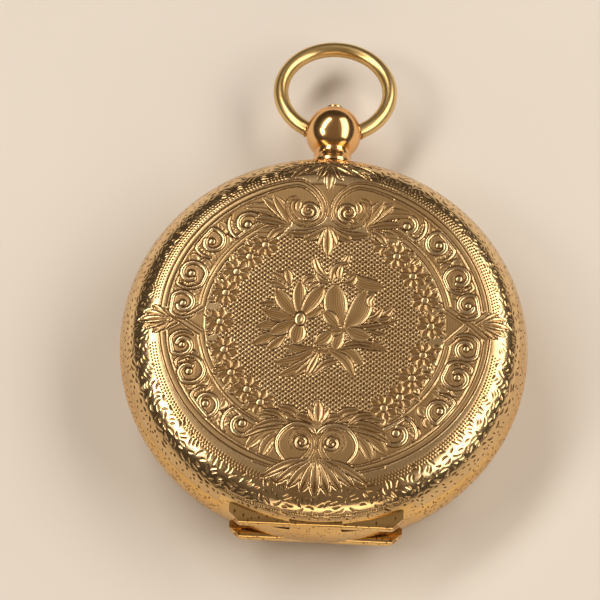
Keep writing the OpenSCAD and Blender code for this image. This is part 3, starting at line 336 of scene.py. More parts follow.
# %% The height map
class Plate:
    """A height map in mm on an x, y grid; wrap joins its left and right ends."""
    def __init__(self, x0, x1, y0, y1, step, wrap=False):
        self.x0, self.y0, self.step, self.wrap = x0, y0, step, wrap
        self.nx = int(round((x1 - x0) / step))
        self.ny = int(round((y1 - y0) / step))
        self.h = np.zeros((self.ny, self.nx), np.float32)
        self.fit = (1.0, 0.0)  # scale and shift in y of what is drawn
        self.x = x0 + step * np.arange(self.nx, dtype=np.float32)
        self.y = y0 + step * np.arange(self.ny, dtype=np.float32)

    def window(self, xa, xb, ya, yb):
        """Row and column numbers of the cells in a box, and their x and y."""
        i0 = int(math.floor((xa - self.x0) / self.step))
        i1 = int(math.ceil((xb - self.x0) / self.step)) + 1
        j0 = max(0, int(math.floor((ya - self.y0) / self.step)))
        j1 = min(self.ny, int(math.ceil((yb - self.y0) / self.step)) + 1)
        cols = np.arange(i0, i1)
        x = (self.x0 + self.step * cols).astype(np.float32)
        if self.wrap:
            cols = cols % self.nx
        else:
            keep = (cols >= 0) & (cols < self.nx)
            cols, x = cols[keep], x[keep]
        return np.arange(j0, j1), cols, x[None, :], self.y[j0:j1][:, None]

    def sample(self, x, y):
        """Heights between the cells, smoothly."""
        u = (np.asarray(x) - self.x0) / self.step
        v = np.clip((np.asarray(y) - self.y0) / self.step, 0, self.ny - 1.001)
        if not self.wrap:
            u = np.clip(u, 0, self.nx - 1.001)
        i, j = np.floor(u).astype(int), np.floor(v).astype(int)
        fu, fv = u - i, v - j
        i0, i1, h = i % self.nx, (i + 1) % self.nx, self.h
        low = h[j, i0] * (1 - fu) + h[j, i1] * fu
        high = h[j + 1, i0] * (1 - fu) + h[j + 1, i1] * fu
        return low * (1 - fv) + high * fv

print("a 2 mm by 1 mm map has", Plate(0, 2, 0, 1, 0.05).h.shape, "rows and columns")

# %% A smooth line through points
def smooth(pts, n):
    """n points on a smooth line through the given ones."""
    p = np.asarray(pts, float)
    q = np.vstack([2 * p[0] - p[1], p, 2 * p[-1] - p[-2]])
    out = []
    m = len(p) - 1
    for t in np.linspace(0, m, n):
        k = min(int(t), m - 1)
        f = t - k
        a, b, c, d = q[k], q[k + 1], q[k + 2], q[k + 3]
        out.append(0.5 * (2 * b + (c - a) * f + (2 * a - 5 * b + 4 * c - d) * f * f
                          + (3 * b - a - 3 * c + d) * f ** 3))
    return np.array(out)

def curve(x, y, deg, length, bend, n):
    """A line of n steps that starts at heading deg and bends by bend degrees."""
    line = [(x, y)]
    for i in range(n):
        line.append(polar(length / n, deg + bend * (i + 0.5) / n, *line[-1]))
    return line

print("a bend in five points:", smooth([(0, 0), (1, 1), (2, 0)], 5).round(2).tolist())

# %% One stroke of the graver
def sweep(plate, pts, width, shape, blend="set", caps=True):
    """Draws along a line. width(s) is the half width at s from 0 to 1, and shape(d, s) the height
    at d from -1 to 1 across."""
    p = np.asarray(pts, float) * (1, plate.fit[0]) + (0, plate.fit[1])
    seg = np.hypot(*(p[1:] - p[:-1]).T)
    at = np.concatenate([[0], np.cumsum(seg)])
    total = max(at[-1], 1e-6)
    w_max = max(width(s) for s in np.linspace(0, 1, 9)) + plate.step
    lo, hi = p.min(0) - w_max, p.max(0) + w_max
    rows, cols, X, Y = plate.window(lo[0], hi[0], lo[1], hi[1])
    if len(rows) == 0 or len(cols) == 0:
        return
    X = np.broadcast_to(X, (len(rows), len(cols)))
    Y = np.broadcast_to(Y, (len(rows), len(cols)))
    best = np.full(X.shape, 1e9, np.float32)
    side = np.zeros(X.shape, np.float32)
    along = np.zeros(X.shape, np.float32)
    past = np.zeros(X.shape, bool)
    for k in range(len(seg)):
        if seg[k] < 1e-9:
            continue
        (ax, ay), (bx, by) = p[k], p[k + 1]
        i0 = np.searchsorted(X[0], min(ax, bx) - w_max)
        i1 = np.searchsorted(X[0], max(ax, bx) + w_max)
        j0 = np.searchsorted(Y[:, 0], min(ay, by) - w_max)
        j1 = np.searchsorted(Y[:, 0], max(ay, by) + w_max)
        if i0 >= i1 or j0 >= j1:
            continue
        box = (slice(j0, j1), slice(i0, i1))
        sx, sy = X[box] - ax, Y[box] - ay
        ux, uy = (bx - ax) / seg[k], (by - ay) / seg[k]
        raw = sx * ux + sy * uy
        t = np.clip(raw, 0, seg[k])
        out = np.zeros(raw.shape, bool)
        if k == 0:
            out = raw < 0
        elif k == len(seg) - 1:
            out = raw > seg[k]
        dist = np.hypot(sx - t * ux, sy - t * uy)
        near = dist < best[box]
        best[box][near] = dist[near]
        side[box][near] = np.sign(ux * sy - uy * sx)[near]
        along[box][near] = ((at[k] + t) / total)[near]
        past[box][near] = out[near]
    steps = np.linspace(0, 1, 33)
    w = np.interp(along, steps, [width(s) for s in steps]).astype(np.float32)
    d = best / np.maximum(w, 1e-4)
    inside = (d < 1) & (caps | ~past)
    if not inside.any():
        return
    new = shape(d * side, along)
    cells = np.ix_(rows, cols)
    old = plate.h[cells]
    plate.h[cells] = np.where(inside, new if blend == "set" else np.minimum(old, new), old)

trial = Plate(0, 2, 0, 1, 0.05)
sweep(trial, [(0.3, 0.5), (1.7, 0.5)], lambda s: 0.2, lambda d, s: -0.1 * (1 - d * d))
print("a trial cut is", round(-float(trial.h.min()), 3), "mm deep")

# %% Profiles across a stroke
GROUND = -0.11

def bead(foot):
    """A round rib from its foot up to the face."""
    return lambda d, s: foot - foot * np.sqrt(np.clip(1 - d * d, 0, 1))

def flat(level):
    return lambda d, s: np.full_like(d, level)

def blade(floor, w, vein=0.0, lines=0):
    """A dished petal or leaf: a thin raised rim, a vein and fine cut lines along it."""
    sigma = min(0.34, 0.075 / w)
    crest = 1 - 1.25 * sigma
    def f(d, s):
        a = np.abs(d)
        h = floor - floor * np.maximum(0.7 * a * a, np.exp(-((a - crest) / sigma) ** 2))
        h = h - floor * vein * np.exp(-(d * w / 0.085) ** 2) * np.clip(1.15 - s, 0, 1)
        if lines:
            h = h - 0.022 * (0.5 + 0.5 * np.cos(d * lines * np.pi)) * (a < crest)
        return h
    return f

print("a bead, edge to middle:", bead(-0.1)(np.array([1, 0.5, 0]), 0).round(3).tolist())

# %% Widths along a stroke
def full(w, lean=1.25, end=0.6):
    """Half width of a broad petal, widest past its middle."""
    return lambda s: w * max(0.03, math.sin(math.pi * min(1.0, max(0.0, s)) ** lean)) ** end

print("a petal's half width:", [round(full(1)(t / 4), 2) for t in range(5)])

# %% One leaf and one petal
def leaf(plate, x, y, deg, length, w, bend=0.0):
    """One leaf from its root at x, y, heading deg, bending by bend degrees along its length."""
    line = curve(x, y, deg, length, bend, 14)
    sweep(plate, line, full(w + 0.16, 1.1), flat(GROUND - 0.02), "min")
    sweep(plate, line, full(w, 1.1), blade(-0.09, w, 0.5))

def petal(plate, root, tip, w, bend=0.0, lines=0, floor=-0.075, vein=0.0, lean=1.2):
    """A leaf or petal from root to tip; bend bows it sideways by a share of its length."""
    (x0, y0), (x1, y1) = root, tip
    mx, my = (x0 + x1) / 2 - (y1 - y0) * bend, (y0 + y1) / 2 + (x1 - x0) * bend
    line = smooth([(x0, y0), (mx, my), (x1, y1)], 16)
    sweep(plate, line, full(w + 0.12, lean), flat(GROUND - 0.03), "min")
    sweep(plate, line, full(w, lean), blade(floor, w, vein, lines))

# %% One little flower
def rosette(plate, cx, cy, r, petals=8, turn=0.0):
    """A little flower: dished petals with raised rims round a button."""
    for k in range(petals):
        a = turn + 360 * k / petals
        line = smooth([polar(q * r, a, cx, cy) for q in (0.22, 0.6, 1)], 8)
        sweep(plate, line, full(0.39 * r, 1.35, 0.55), flat(GROUND), "min")
        sweep(plate, line, full(0.34 * r, 1.35, 0.55), blade(-0.10, 0.34 * r))
    cy = cy * plate.fit[0] + plate.fit[1]
    near = 0.4 * r
    rows, cols, X, Y = plate.window(cx - near, cx + near, cy - near, cy + near)
    rad = np.hypot(X - cx, Y - cy) / r
    cells = np.ix_(rows, cols)
    button = np.where(rad < 0.26, -0.6 * rad ** 2, -0.11)
    plate.h[cells] = np.where(rad < 0.32, button, plate.h[cells])

print("ground level", GROUND, "mm below the cover's face")

# %% [markdown]
# The front cover's drawing. Its middle is engine turned, the work of a rose engine that cuts the
# same small pit again and again. Round it the ground is matted, ruled so finely that it looks
# dull. Both are formulas over the whole map, which is quicker than drawing each pit.

# %% Grounds
SPAN, STEP = 24.2, 0.05
TURNED_R, MATTED_R, FRAME_R = 11.6, 13.2, 17.35
PIT_X, PIT_Y = 0.645, 0.53

def ring(plate, r0, r1, height):
    """Fills the map between two radii by a formula."""
    X, Y = plate.x[None, :], plate.y[:, None]
    R = np.hypot(X, (Y - plate.fit[1]) / plate.fit[0])
    plate.h = np.where((R >= r0) & (R < r1), height(X, Y, R), plate.h).astype(np.float32)

def barleycorn(X, Y, R):
    """Engine turning: staggered lozenge pits between thin flat ridges."""
    row = np.round(Y / (PIT_Y / 2))
    dy = np.abs(Y - row * (PIT_Y / 2))
    dx = np.abs(((X / PIT_X + 0.5 * (row % 2)) % 1) - 0.5) * PIT_X
    u = np.clip(dx / 0.295 + dy / 0.15, 0, 1)
    return -0.015 - 0.085 * (1 - u ** 4)

def matting(X, Y, R):
    """The ground under the scrolls, ruled with fine upright cuts."""
    return -0.08 + 0.002 * np.cos(2 * np.pi * X / 0.30)

print("a pit is", PIT_X, "by", PIT_Y, "mm and",
      round(-float(barleycorn(0.32, 0, 0)), 3), "mm deep")

# %% Straps, stems and curls
def arc(r, a0, a1, n):
    return [polar(r, a) for a in np.linspace(a0, a1, n)]

def strap(plate, pts, half):
    """A frame band: a flat strip between two grooves and two raised lips."""
    def f(d, s):
        a = np.abs(d)
        lip = np.exp(-(np.maximum(0, np.abs(a - 0.86) - 0.06) / 0.10) ** 2)
        groove = 0.055 * np.exp(-((a - 0.55) / 0.15) ** 2)
        return -0.065 + 0.065 * lip - groove * (1 - lip)
    sweep(plate, pts, half if callable(half) else lambda s: half, f, caps=False)

def stem(plate, pts, w0, w1):
    """A round rib from half width w0 to w1, set off by a groove at each side."""
    def width(s):
        return (w0 + (w1 - w0) * s) * min(1, 0.25 + s / 0.07)
    sweep(plate, pts, lambda s: width(s) + 0.11, flat(GROUND - 0.02), "min")
    sweep(plate, pts, width, bead(-0.07))

def coil(cx, cy, r, a0, sense, turns=1.55, eye=0.22):
    """Points from the ring at angle a0 in to the eye."""
    t = np.linspace(0, 1, 46)
    rr = r + (eye - r) * t ** 1.25
    a = np.radians(a0) + sense * 2 * np.pi * turns * t
    return [(cx + q * math.cos(b), cy + q * math.sin(b)) for q, b in zip(rr, a)]

def knob(plate, x, y, r):
    """The round eye of a scroll."""
    line = [(x - 0.02, y), (x + 0.02, y)]
    sweep(plate, line, lambda s: r + 0.14, flat(GROUND - 0.02), "min")
    sweep(plate, line, lambda s: r, bead(-0.09))

print("a curl ends at", [round(v, 2) for v in coil(0, 0, 1, 0, 1)[-1]])

# %% [markdown]
# Running scrolls fill the four quarters between the frames. Each starts at a frame, rolls up once
# round its eye and turns against the one before it, with leaves in the gaps. A list of centres
# and sizes is enough for a whole row.

# %% A row of scrolls
def between(x, y, inner=14.25, outer=16.95):
    """The nearest point that lies between the two frames."""
    far = math.hypot(x, y)
    fit = min(max(far, inner), outer) / far
    return x * fit, y * fit

def vine(plate, centres, radii, sense):
    """A row of scrolls that turn alternately, with four curled leaves in each gap."""
    for k in range(len(centres) - 1):
        (ax, ay), (bx, by) = centres[k], centres[k + 1]
        deg = math.degrees(math.atan2(by - ay, bx - ax))
        for side in (1, -1):
            for c, heading, r, way in ((centres[k], deg, radii[k], side),
                                       (centres[k + 1], deg + 180, radii[k + 1], -side)):
                root = polar(0.9 * r, heading + 12 * way, *c)
                tip = between(*polar(r + 1.6, heading + 50 * way, *c))
                petal(plate, root, tip, 0.62, -0.24 * way, 0, -0.085, 0.7)
    for k, (c, r) in enumerate(zip(centres, radii)):
        turn = sense * (-1) ** k
        (ax, ay), (bx, by) = centres[max(0, k - 1)], centres[max(1, k)]
        start = math.degrees(math.atan2(by - ay, bx - ax)) - 60 * turn
        line = [between(x, y) for x, y in coil(*c, 1.75 * r, start, turn, 1.3, 0.58 * r)]
        stem(plate, line, 0.13, 0.26)
        knob(plate, *c, 0.30 * r)

# %% The frames and their crossings
COVER_R, OUTER_R = 13.5, 17.75
INNER_ARCS = ((119, 174), (187.5, 241), (61, 10), (-8.6, -58))
OUTER_ARCS = ((112, 177), (184.5, 249), (68, 7), (-3, -69))
CROSSINGS = (
    ((-17.7, 0.85), (-15.6, -0.4), (-13.4, -1.9)), ((-13.5, 1.45), (-15.6, -0.15), (-17.75, -1.5)),
    ((-16.7, 0.25), (-15.6, -0.4), (-14.5, -1.15)), ((17.7, 2.1), (15.7, 0.6), (13.3, -1.9)),
    ((13.35, 2.45), (15.6, 0.9), (17.75, -1.0)))

def draw_frames(plate):
    """Grounds, the two frames and the crossings at the sides."""
    ring(plate, 0, TURNED_R, barleycorn)
    ring(plate, TURNED_R, MATTED_R, lambda X, Y, R: np.full_like(R, -0.045))
    ring(plate, MATTED_R, FRAME_R, matting)
    for a0, a1 in INNER_ARCS:
        strap(plate, arc(COVER_R, a0, a1, 40), 0.50)
    for a0, a1 in OUTER_ARCS:
        strap(plate, arc(OUTER_R, a0, a1, 60), 0.58)
    for pts in CROSSINGS:
        strap(plate, pts, 0.46)

print("frames at", COVER_R, "and", OUTER_R, "mm")

# %% Scrolls at the sides and the ring of rosettes
# centres, radii and the sense of the first scroll in each quarter
VINES = (
    (((-8.97, 11.77), (-12.83, 9.47), (-14.84, 5.43), (-15.6, 1.75)), (1.25, 1.15, 1.15, 1.05), 1),
    (((-8.43, -12.46), (-12.54, -10.27), (-14.5, -6.5), (-15.45, -3.3)),
     (1.3, 1.15, 1.15, 0.95), -1),
    (((8.57, 12.43), (12.18, 10.26), (14.5, 6.23), (15.6, 2.95)), (1.25, 1.15, 1.15, 1.0), -1),
    (((8.2, -12.81), (12.86, -9.94), (14.6, -5.8), (15.5, -2.3)), (1.3, 1.15, 1.15, 1.0), 1))
ROSETTES = (
    (-8.56, 7.77), (-9.89, 5.84), (-10.96, 3.2), (-11.43, -0.37), (-10.82, -3.74), (-9.92, -6.47),
    (-8.09, -8.42), (-6.61, -9.9), (6.22, 10.02), (7.59, 8.6), (9.43, 6.22), (10.83, 3.33),
    (11.55, 0.2), (10.82, -3.37), (9.71, -6.2), (8.49, -8.54), (6.8, -9.94), (-6.9, 9.3))
ROSETTE_R = 1.55

def draw_sides(plate):
    """Running scrolls in the four quarters, and rosettes along the inner frame."""
    for centres, radii, sense in VINES:
        vine(plate, centres, radii, sense)
    for c in ROSETTES:
        away = math.degrees(math.atan2(c[1], c[0]))
        for lean in (-52, 52):
            tip = polar(2.15, away + lean * 0.75, *c)
            petal(plate, polar(1.0, away + lean, *c), tip, 0.34, 0.15)
        rosette(plate, *c, ROSETTE_R, 8, rng.uniform(0, 45))

print("rosettes:", len(ROSETTES), "rows of scrolls:", len(VINES))

# %% [markdown]
# Under the pendant and by the hinge the outer frame leaves its circle and rolls up into a pair of
# volutes, with acanthus leaves at their sides and a palmette between. The leaves are mirrored, so
# one loop draws both halves.

# %% Mirrored leaves, fans and volutes
def mirrored(pts, m, shift):
    """Points on the side m, which is -1 or 1, of a middle line at x = shift."""
    return [(m * x + shift, y) for x, y in pts]

def leaves(plate, rows, m, shift):
    """Leaves given by root, tip, half width, bow and fine lines, drawn on one side."""
    for root, tip, w, bend, lines in rows:
        petal(plate, *mirrored((root, tip), m, shift), w, bend * m, lines)

def fan(plate, root, rows, lines=0, floor=-0.075):
    """Leaves that spring from one root, given by tip, half width and bow."""
    for tip, w, bend in rows:
        petal(plate, root, tip, w, bend, lines, floor)

def volute(plate, line, m, shift, around):
    """A frame strap that leaves its circle and narrows into a scroll."""
    start = arc(OUTER_R, *around, 5)
    p = smooth(start + mirrored(line, m, shift), 80)
    sweep(plate, p, lambda s: 0.60 - 0.32 * s, flat(GROUND - 0.02), "min", False)
    strap(plate, p, lambda s: 0.50 - 0.32 * s)

# %% Volutes and palmette under the pendant
TOP_X = -0.15
TOP_LEAVES = (
    ((4.3, 11.85), (7.9, 10.75), 0.62, -0.10, 3), ((4.2, 11.9), (9.3, 13.95), 0.62, 0.16, 3),
    ((4.2, 11.8), (8.3, 12.5), 0.42, 0.06, 2), ((4.1, 11.9), (7.3, 15.2), 0.55, 0.05, 2),
    ((4.1, 11.9), (6.1, 15.5), 0.62, 0.04, 3), ((4.6, 11.6), (6.6, 9.9), 0.42, 0.10, 2))
TOP_VOLUTE = ((3.1, 17.25), (1.7, 16.4), (0.8, 15.1), (0.55, 13.9), (0.85, 12.85), (2.0, 12.1),
              (3.3, 12.3), (4.2, 13.3), (4.5, 14.4), (4.2, 15.2), (3.5, 15.4))
PALMETTE = (((-4.7, 10.9), 0.42, 0.12), ((4.5, 11.0), 0.42, -0.12), ((-2.8, 10.1), 0.46, 0.08),
            ((2.5, 10.2), 0.46, -0.08), ((-1.05, 9.3), 0.46, 0.04), ((0.95, 9.45), 0.46, -0.04),
            ((-0.02, 8.15), 0.55, 0))

def draw_top(plate):
    """The pair of volutes under the pendant, their leaves, the palmette and the crest."""
    for m in (-1, 1):
        leaves(plate, TOP_LEAVES, m, TOP_X)
        volute(plate, TOP_VOLUTE, m, TOP_X, (90 - m * 24, 90 - m * 15))
        x = m * 2.18 + TOP_X
        stem(plate, coil(x, 13.78, 1.15, 270 + 20 * m, -m, 1.6, 0.25), 0.20, 0.12)
        leaf(plate, m * 3.3 + TOP_X, 13.6, 90 - 20 * m, 1.6, 0.36, 60 * m)
    fan(plate, (-0.16, 12.0), PALMETTE, 2)
    for m in (-1, 1):
        fan(plate, (-0.2, 20.6), (
            ((m * 5.2 - 0.1, 18.75), 0.34, 0.10 * m), ((m * 4.4, 17.95), 0.30, 0.12 * m),
            ((m * 2.7 - 0.1, 18.7), 0.36, 0.06 * m), ((m * 1.3 - 0.15, 17.8), 0.34, 0.02 * m)))
    petal(plate, (-0.2, 19.9), (-0.2, 16.4), 0.42)

# %% Volutes and fan by the hinge
BASE_X = -0.3
BASE_LEAVES = (
    ((3.9, -12.9), (7.6, -15.4), 0.70, 0.12, 4), ((3.9, -13.2), (6.0, -16.4), 0.60, 0.10, 3),
    ((3.4, -12.6), (8.0, -14.0), 0.40, 0.10, 2))
BASE_LEAVES_ABOVE = (
    ((1.6, -12.1), (4.4, -10.3), 0.44, 0.16, 2), ((3.2, -12.2), (6.2, -10.9), 0.36, 0.16, 2))
BASE_VOLUTE = ((2.7, -17.25), (1.35, -16.5), (0.55, -15.3), (0.55, -14.1), (1.3, -13.2),
               (2.3, -13.2), (2.8, -14.2), (2.4, -15.2))
BASE_STEM = ((0.9, -12.5), (2.4, -12.25), (3.6, -12.95), (4.3, -14.2), (4.2, -15.4), (3.5, -16.5))
BUD = (((-2.7, -11.2), 0.40, -0.1), ((2.3, -11.1), 0.40, 0.1), ((-1.39, -10.2), 0.46, -0.06),
       ((0.86, -10.3), 0.46, 0.06), ((-0.30, -9.4), 0.52, 0))
HINGE_FAN = (
    ((-6.2, -18.7), 0.42, -0.08), ((5.4, -18.9), 0.42, 0.08), ((-4.6, -19.3), 0.44, -0.05),
    ((3.9, -19.4), 0.44, 0.05), ((-3.2, -19.7), 0.48, -0.03), ((2.5, -19.9), 0.48, 0.03),
    ((-1.8, -20.2), 0.50, 0), ((1.2, -20.4), 0.50, 0), ((-0.3, -20.7), 0.52, 0))
SIDE_FANS = (
    ((-16.9, -0.35), ((-18.7, -1.9), (-18.9, 1.4), (-19.8, -1.2), (-19.8, 0.75), (-20.6, -0.2))),
    ((16.9, 0.75), ((18.9, -0.9), (18.9, 2.2), (19.9, -0.3), (19.8, 1.7), (20.6, 0.7))))

def draw_base(plate):
    """The lower pair of volutes, the bud over them and the fan of leaves by the hinge."""
    for m in (-1, 1):
        leaves(plate, BASE_LEAVES, m, BASE_X)
        petal(plate, (m * 1.3 + BASE_X, -12.1), (m * 6.9, -11.5), 0.50, 0.12 * m, 2)
        petal(plate, (m * 2.4 + BASE_X, -12.2), (m * 7.2, -12.9), 0.40, 0.10 * m, 2)
        leaves(plate, BASE_LEAVES_ABOVE, m, BASE_X)
        volute(plate, BASE_VOLUTE, m, BASE_X, (270 + m * 23, 270 + m * 14))
        x = m * 1.6 + BASE_X
        stem(plate, coil(x, -14.35, 0.8, 90 + 110 * m, m, 1.4, 0.2), 0.17, 0.11)
        line = [(-0.35, -13.4)] + mirrored(BASE_STEM, m, BASE_X)
        stem(plate, smooth(line, 50), 0.26, 0.13)
    fan(plate, (-0.25, -12.3), BUD, 2)
    fan(plate, (-0.3, -16.3), HINGE_FAN, 2, -0.06)
    for root, tips in SIDE_FANS:
        fan(plate, root, [(tip, 0.38, 0) for tip in tips])

print("leaves of the hinge fan:", len(HINGE_FAN))

# %% [markdown]
# The bouquet in the middle: a daisy at the left, an open bloom at the right and leaves behind
# them. Each petal is one line of a table, from root to tip. What lies behind is drawn first, and
# each petal cuts a groove round itself, so the pile reads as layers.

# %% Petals and leaves of the bouquet: root, tip, half width, bow, fine lines
LEAVES_BEHIND = (
    ((-0.6, -3.1), (-4.2, -3.0), 0.55, 0.14, 4), ((-0.9, -3.3), (-5.2, -5.1), 0.62, 0.10, 4),
    ((-0.6, -3.5), (-4.8, -6.7), 0.58, 0.08, 4), ((-0.1, -3.1), (-3.1, -6.6), 0.42, 0.05, 2),
    ((-0.4, -3.4), (-1.8, -6.5), 0.36, 0.0, 2), ((-1.2, -6.5), (2.0, -4.3), 0.40, 0.12, 2),
    ((-0.3, -3.6), (4.3, -4.8), 0.80, 0.20, 5), ((0.5, -3.3), (3.4, -6.3), 0.55, 0.12, 3),
    ((0.8, -3.2), (6.9, -2.9), 0.55, 0.12, 4), ((1.8, -2.8), (5.5, -2.4), 0.40, 0.16, 2),
    ((2.1, -0.6), (5.4, -0.1), 0.34, 0.10, 2), ((2.3, -0.2), (6.8, -1.2), 0.36, 0.06, 2),
    ((2.0, -0.6), (8.1, 0.75), 0.34, -0.05, 2), ((4.6, 0.5), (7.4, 2.2), 0.40, -0.12, 2),
    ((4.3, 0.5), (6.3, 2.2), 0.34, -0.14, 2), ((5.4, 0.6), (7.3, 1.1), 0.30, -0.1, 0),
    ((-4.4, 4.0), (-6.3, 4.6), 0.46, -0.12, 3), ((-4.2, 4.5), (-5.8, 5.8), 0.44, -0.10, 3),
    ((-3.9, 4.4), (-4.4, 6.3), 0.46, 0.0, 3), ((-2.0, 4.0), (-0.7, 5.1), 0.42, 0.10, 2),
    ((-2.7, 4.5), (-1.2, 5.6), 0.42, 0.12, 2), ((-5.4, 2.2), (-6.9, 2.1), 0.44, 0.0, 2),
    ((0.2, 4.8), (-1.1, 6.8), 0.34, 0.14, 0), ((0.1, 5.4), (-1.5, 8.1), 0.36, 0.10, 2),
    ((0.4, 5.8), (2.4, 8.6), 0.36, -0.10, 2), ((0.5, 4.7), (2.4, 7.5), 0.46, 0.22, 2),
    ((0.2, 4.9), (-1.2, 5.9), 0.30, 0.14, 0), ((2.2, 6.2), (6.3, 4.6), 0.85, -0.12, 6),
    ((1.8, 4.9), (3.2, 6.0), 0.46, -0.2, 2), ((1.5, 5.1), (1.6, 7.2), 0.34, 0.1, 0))
BLOOM = (
    ((2.1, -0.5), (1.0, 4.7), 1.30, 0.08, 10), ((2.15, -0.7), (4.3, 4.1), 1.20, -0.10, 10),
    ((5.0, 2.0), (5.3, 3.7), 0.30, 0.25, 0), ((2.3, -0.6), (4.9, -1.6), 0.80, -0.05, 5),
    ((2.1, -0.8), (1.2, -3.3), 0.72, -0.06, 5), ((2.0, -0.9), (0.2, -0.8), 0.50, 0.1, 3),
    ((1.6, -0.5), (-0.2, 1.4), 0.70, 0.0, 4), ((0.9, -1.0), (-0.9, -2.6), 0.75, 0.05, 4))
DAISY_AT = (-2.73, 0.3)
DAISY = (
    ((-4.0, -0.9), (-7.8, -2.9), 0.60), ((-4.1, -1.6), (-6.1, -3.5), 0.50),
    (DAISY_AT, (-7.4, -0.8), 0.72), (DAISY_AT, (-6.7, 1.05), 0.78), (DAISY_AT, (-0.35, 1.75), 0.62),
    (DAISY_AT, (-5.5, 3.75), 0.85), (DAISY_AT, (-2.9, 4.95), 0.76), (DAISY_AT, (-0.3, 4.45), 0.86),
    (DAISY_AT, (-5.9, -1.6), 0.72), (DAISY_AT, (-3.2, -2.6), 0.92))
print("petals and leaves:", len(LEAVES_BEHIND) + len(BLOOM) + len(DAISY))

# %% Draw the bouquet
def draw_bouquet(plate):
    """A daisy and an open bloom with their leaves, in the middle of the field."""
    for root, tip, w, bow, lines in LEAVES_BEHIND + BLOOM:
        petal(plate, root, tip, w, bow, lines, -0.08)
    for root, tip, w in DAISY:
        petal(plate, root, tip, w, 0.02, 6, -0.09, 0.0, 1.45)
    cx, cy = DAISY_AT[0], 0.35 * plate.fit[0] + plate.fit[1]
    rows, cols, X, Y = plate.window(cx - 1.2, cx + 1.2, cy - 1.4, cy + 1.4)
    d = np.hypot((X - cx) / 0.62, (Y - cy) / 0.82)
    cells = np.ix_(rows, cols)
    button = -0.08 * np.clip((d - 0.55) / 0.35, 0, 1) ** 2 - 0.06 * np.exp(-(d / 0.35) ** 2)
    plate.h[cells] = np.where(d < 1.15, np.where(d > 0.95, -0.13, button), plate.h[cells])

# %% The whole drawing of the front
FIT = (0.984, 0.40)  # the drawing is a little narrower in y and lies toward the pendant

def draw_front():
    plate = Plate(-SPAN, SPAN, -SPAN, SPAN, STEP)
    plate.fit = FIT
    for stage in (draw_frames, draw_sides, draw_top, draw_base, draw_bouquet):
        stage(plate)
    plate.fit = (1.0, 0.0)
    draw_shoulder(plate)
    return plate

print("the drawing lies", FIT[1], "mm toward the pendant")

# %% [markdown]
# The rounded shoulder of a cover has rows of milled dots by the frame, then fans of small curled
# cuts like fern, and sparse ticks at the rim. Random cuts would run into each other and look like
# crumpled foil, so a mask of taken ground keeps them apart.

# %% Dots and short cuts
SOUTH, NORTH, WEST, EAST = 270, 90, 180, 0

def off(side, a):
    """Degrees between two bearings."""
    return abs((a - side + 180) % 360 - 180)

def dot(plate, x, y, r, depth, deg, long):
    """An oval pit, longer by the factor long in the direction deg."""
    reach = r * long + 0.05
    rows, cols, X, Y = plate.window(x - reach, x + reach, y - reach, y + reach)
    c, s = math.cos(math.radians(deg)), math.sin(math.radians(deg))
    u, v = (X - x) * c + (Y - y) * s, -(X - x) * s + (Y - y) * c
    d = np.hypot(u / (r * long), v / r)
    cells = np.ix_(rows, cols)
    pit = np.minimum(plate.h[cells], -depth * (1 - d * d))
    plate.h[cells] = np.where(d < 1, pit, plate.h[cells])

def gouge(plate, line, w, depth):
    """One short cut along a line, deep in the middle."""
    def width(s):
        return w * math.sin(math.pi * min(1, max(0, 0.06 + 0.88 * s))) ** 0.6
    def f(d, s):
        return -depth * (1 - d * d) * np.sin(np.pi * np.clip(s, 0.02, 0.98)) ** 0.5
    sweep(plate, line, width, f, "min")

# %% Keep the cuts apart
class Room:
    """Keeps the cuts apart: a mask of the ground already taken on a plate."""
    def __init__(self, plate, gap):
        self.plate, self.gap = plate, gap
        self.mask = np.zeros(plate.h.shape, bool)
    def free(self, pts):
        """Claims the ground along a cut, or says no."""
        p, st, n = self.plate, self.plate.step, int(self.gap / self.plate.step)
        period = p.nx if p.wrap else 10 ** 6
        ij = [(int((y - p.y0) / st), int((x - p.x0) / st) % period) for x, y in pts]
        ij = [(j, i) for j, i in ij if n < j < p.ny - n - 1 and n < i < p.nx - n - 1]
        if len(ij) < len(pts) or any(self.mask[j, i] for j, i in ij):
            return False
        for j, i in ij:
            self.mask[j - n:j + n + 1, i - n:i + n + 1] = True
        return True

def cut(plate, room, x, y, deg, length, bend, w, depth):
    """A curved gouge about the heading deg, made only where there is room."""
    line = curve(x, y, deg - bend / 2, length, bend, 6)
    if room.free(line):
        gouge(plate, line, w, depth)

print("trial plate room:", Room(trial, 0.1).mask.shape)

# %% Draw the shoulder
DOT_ROWS, DOT_PITCH = (18.55, 18.88, 19.21), 0.37
FERN_ROWS, FERN_PITCH, FERN_GAP = np.linspace(19.7, 21.7, 11), 0.9, 0.21
FERN_WAYS = (20, 75, 130, 200, 255, 310)
TICK_ROWS = ((22.45, 190), (22.9, 160), (23.3, 150))
MILLED_R = 21.78

def draw_dots(plate):
    for k, r in enumerate(DOT_ROWS):
        n = int(2 * math.pi * r / DOT_PITCH)
        for i in range(n):
            a = 360 * (i + 0.5 * (k % 2)) / n
            if off(NORTH, a) < 16 or off(SOUTH, a) < 15 or off(WEST, a) < 8 or off(EAST, a) < 8:
                continue
            dot(plate, *polar(r, a), 0.095, 0.06, a + 55, 1.25)

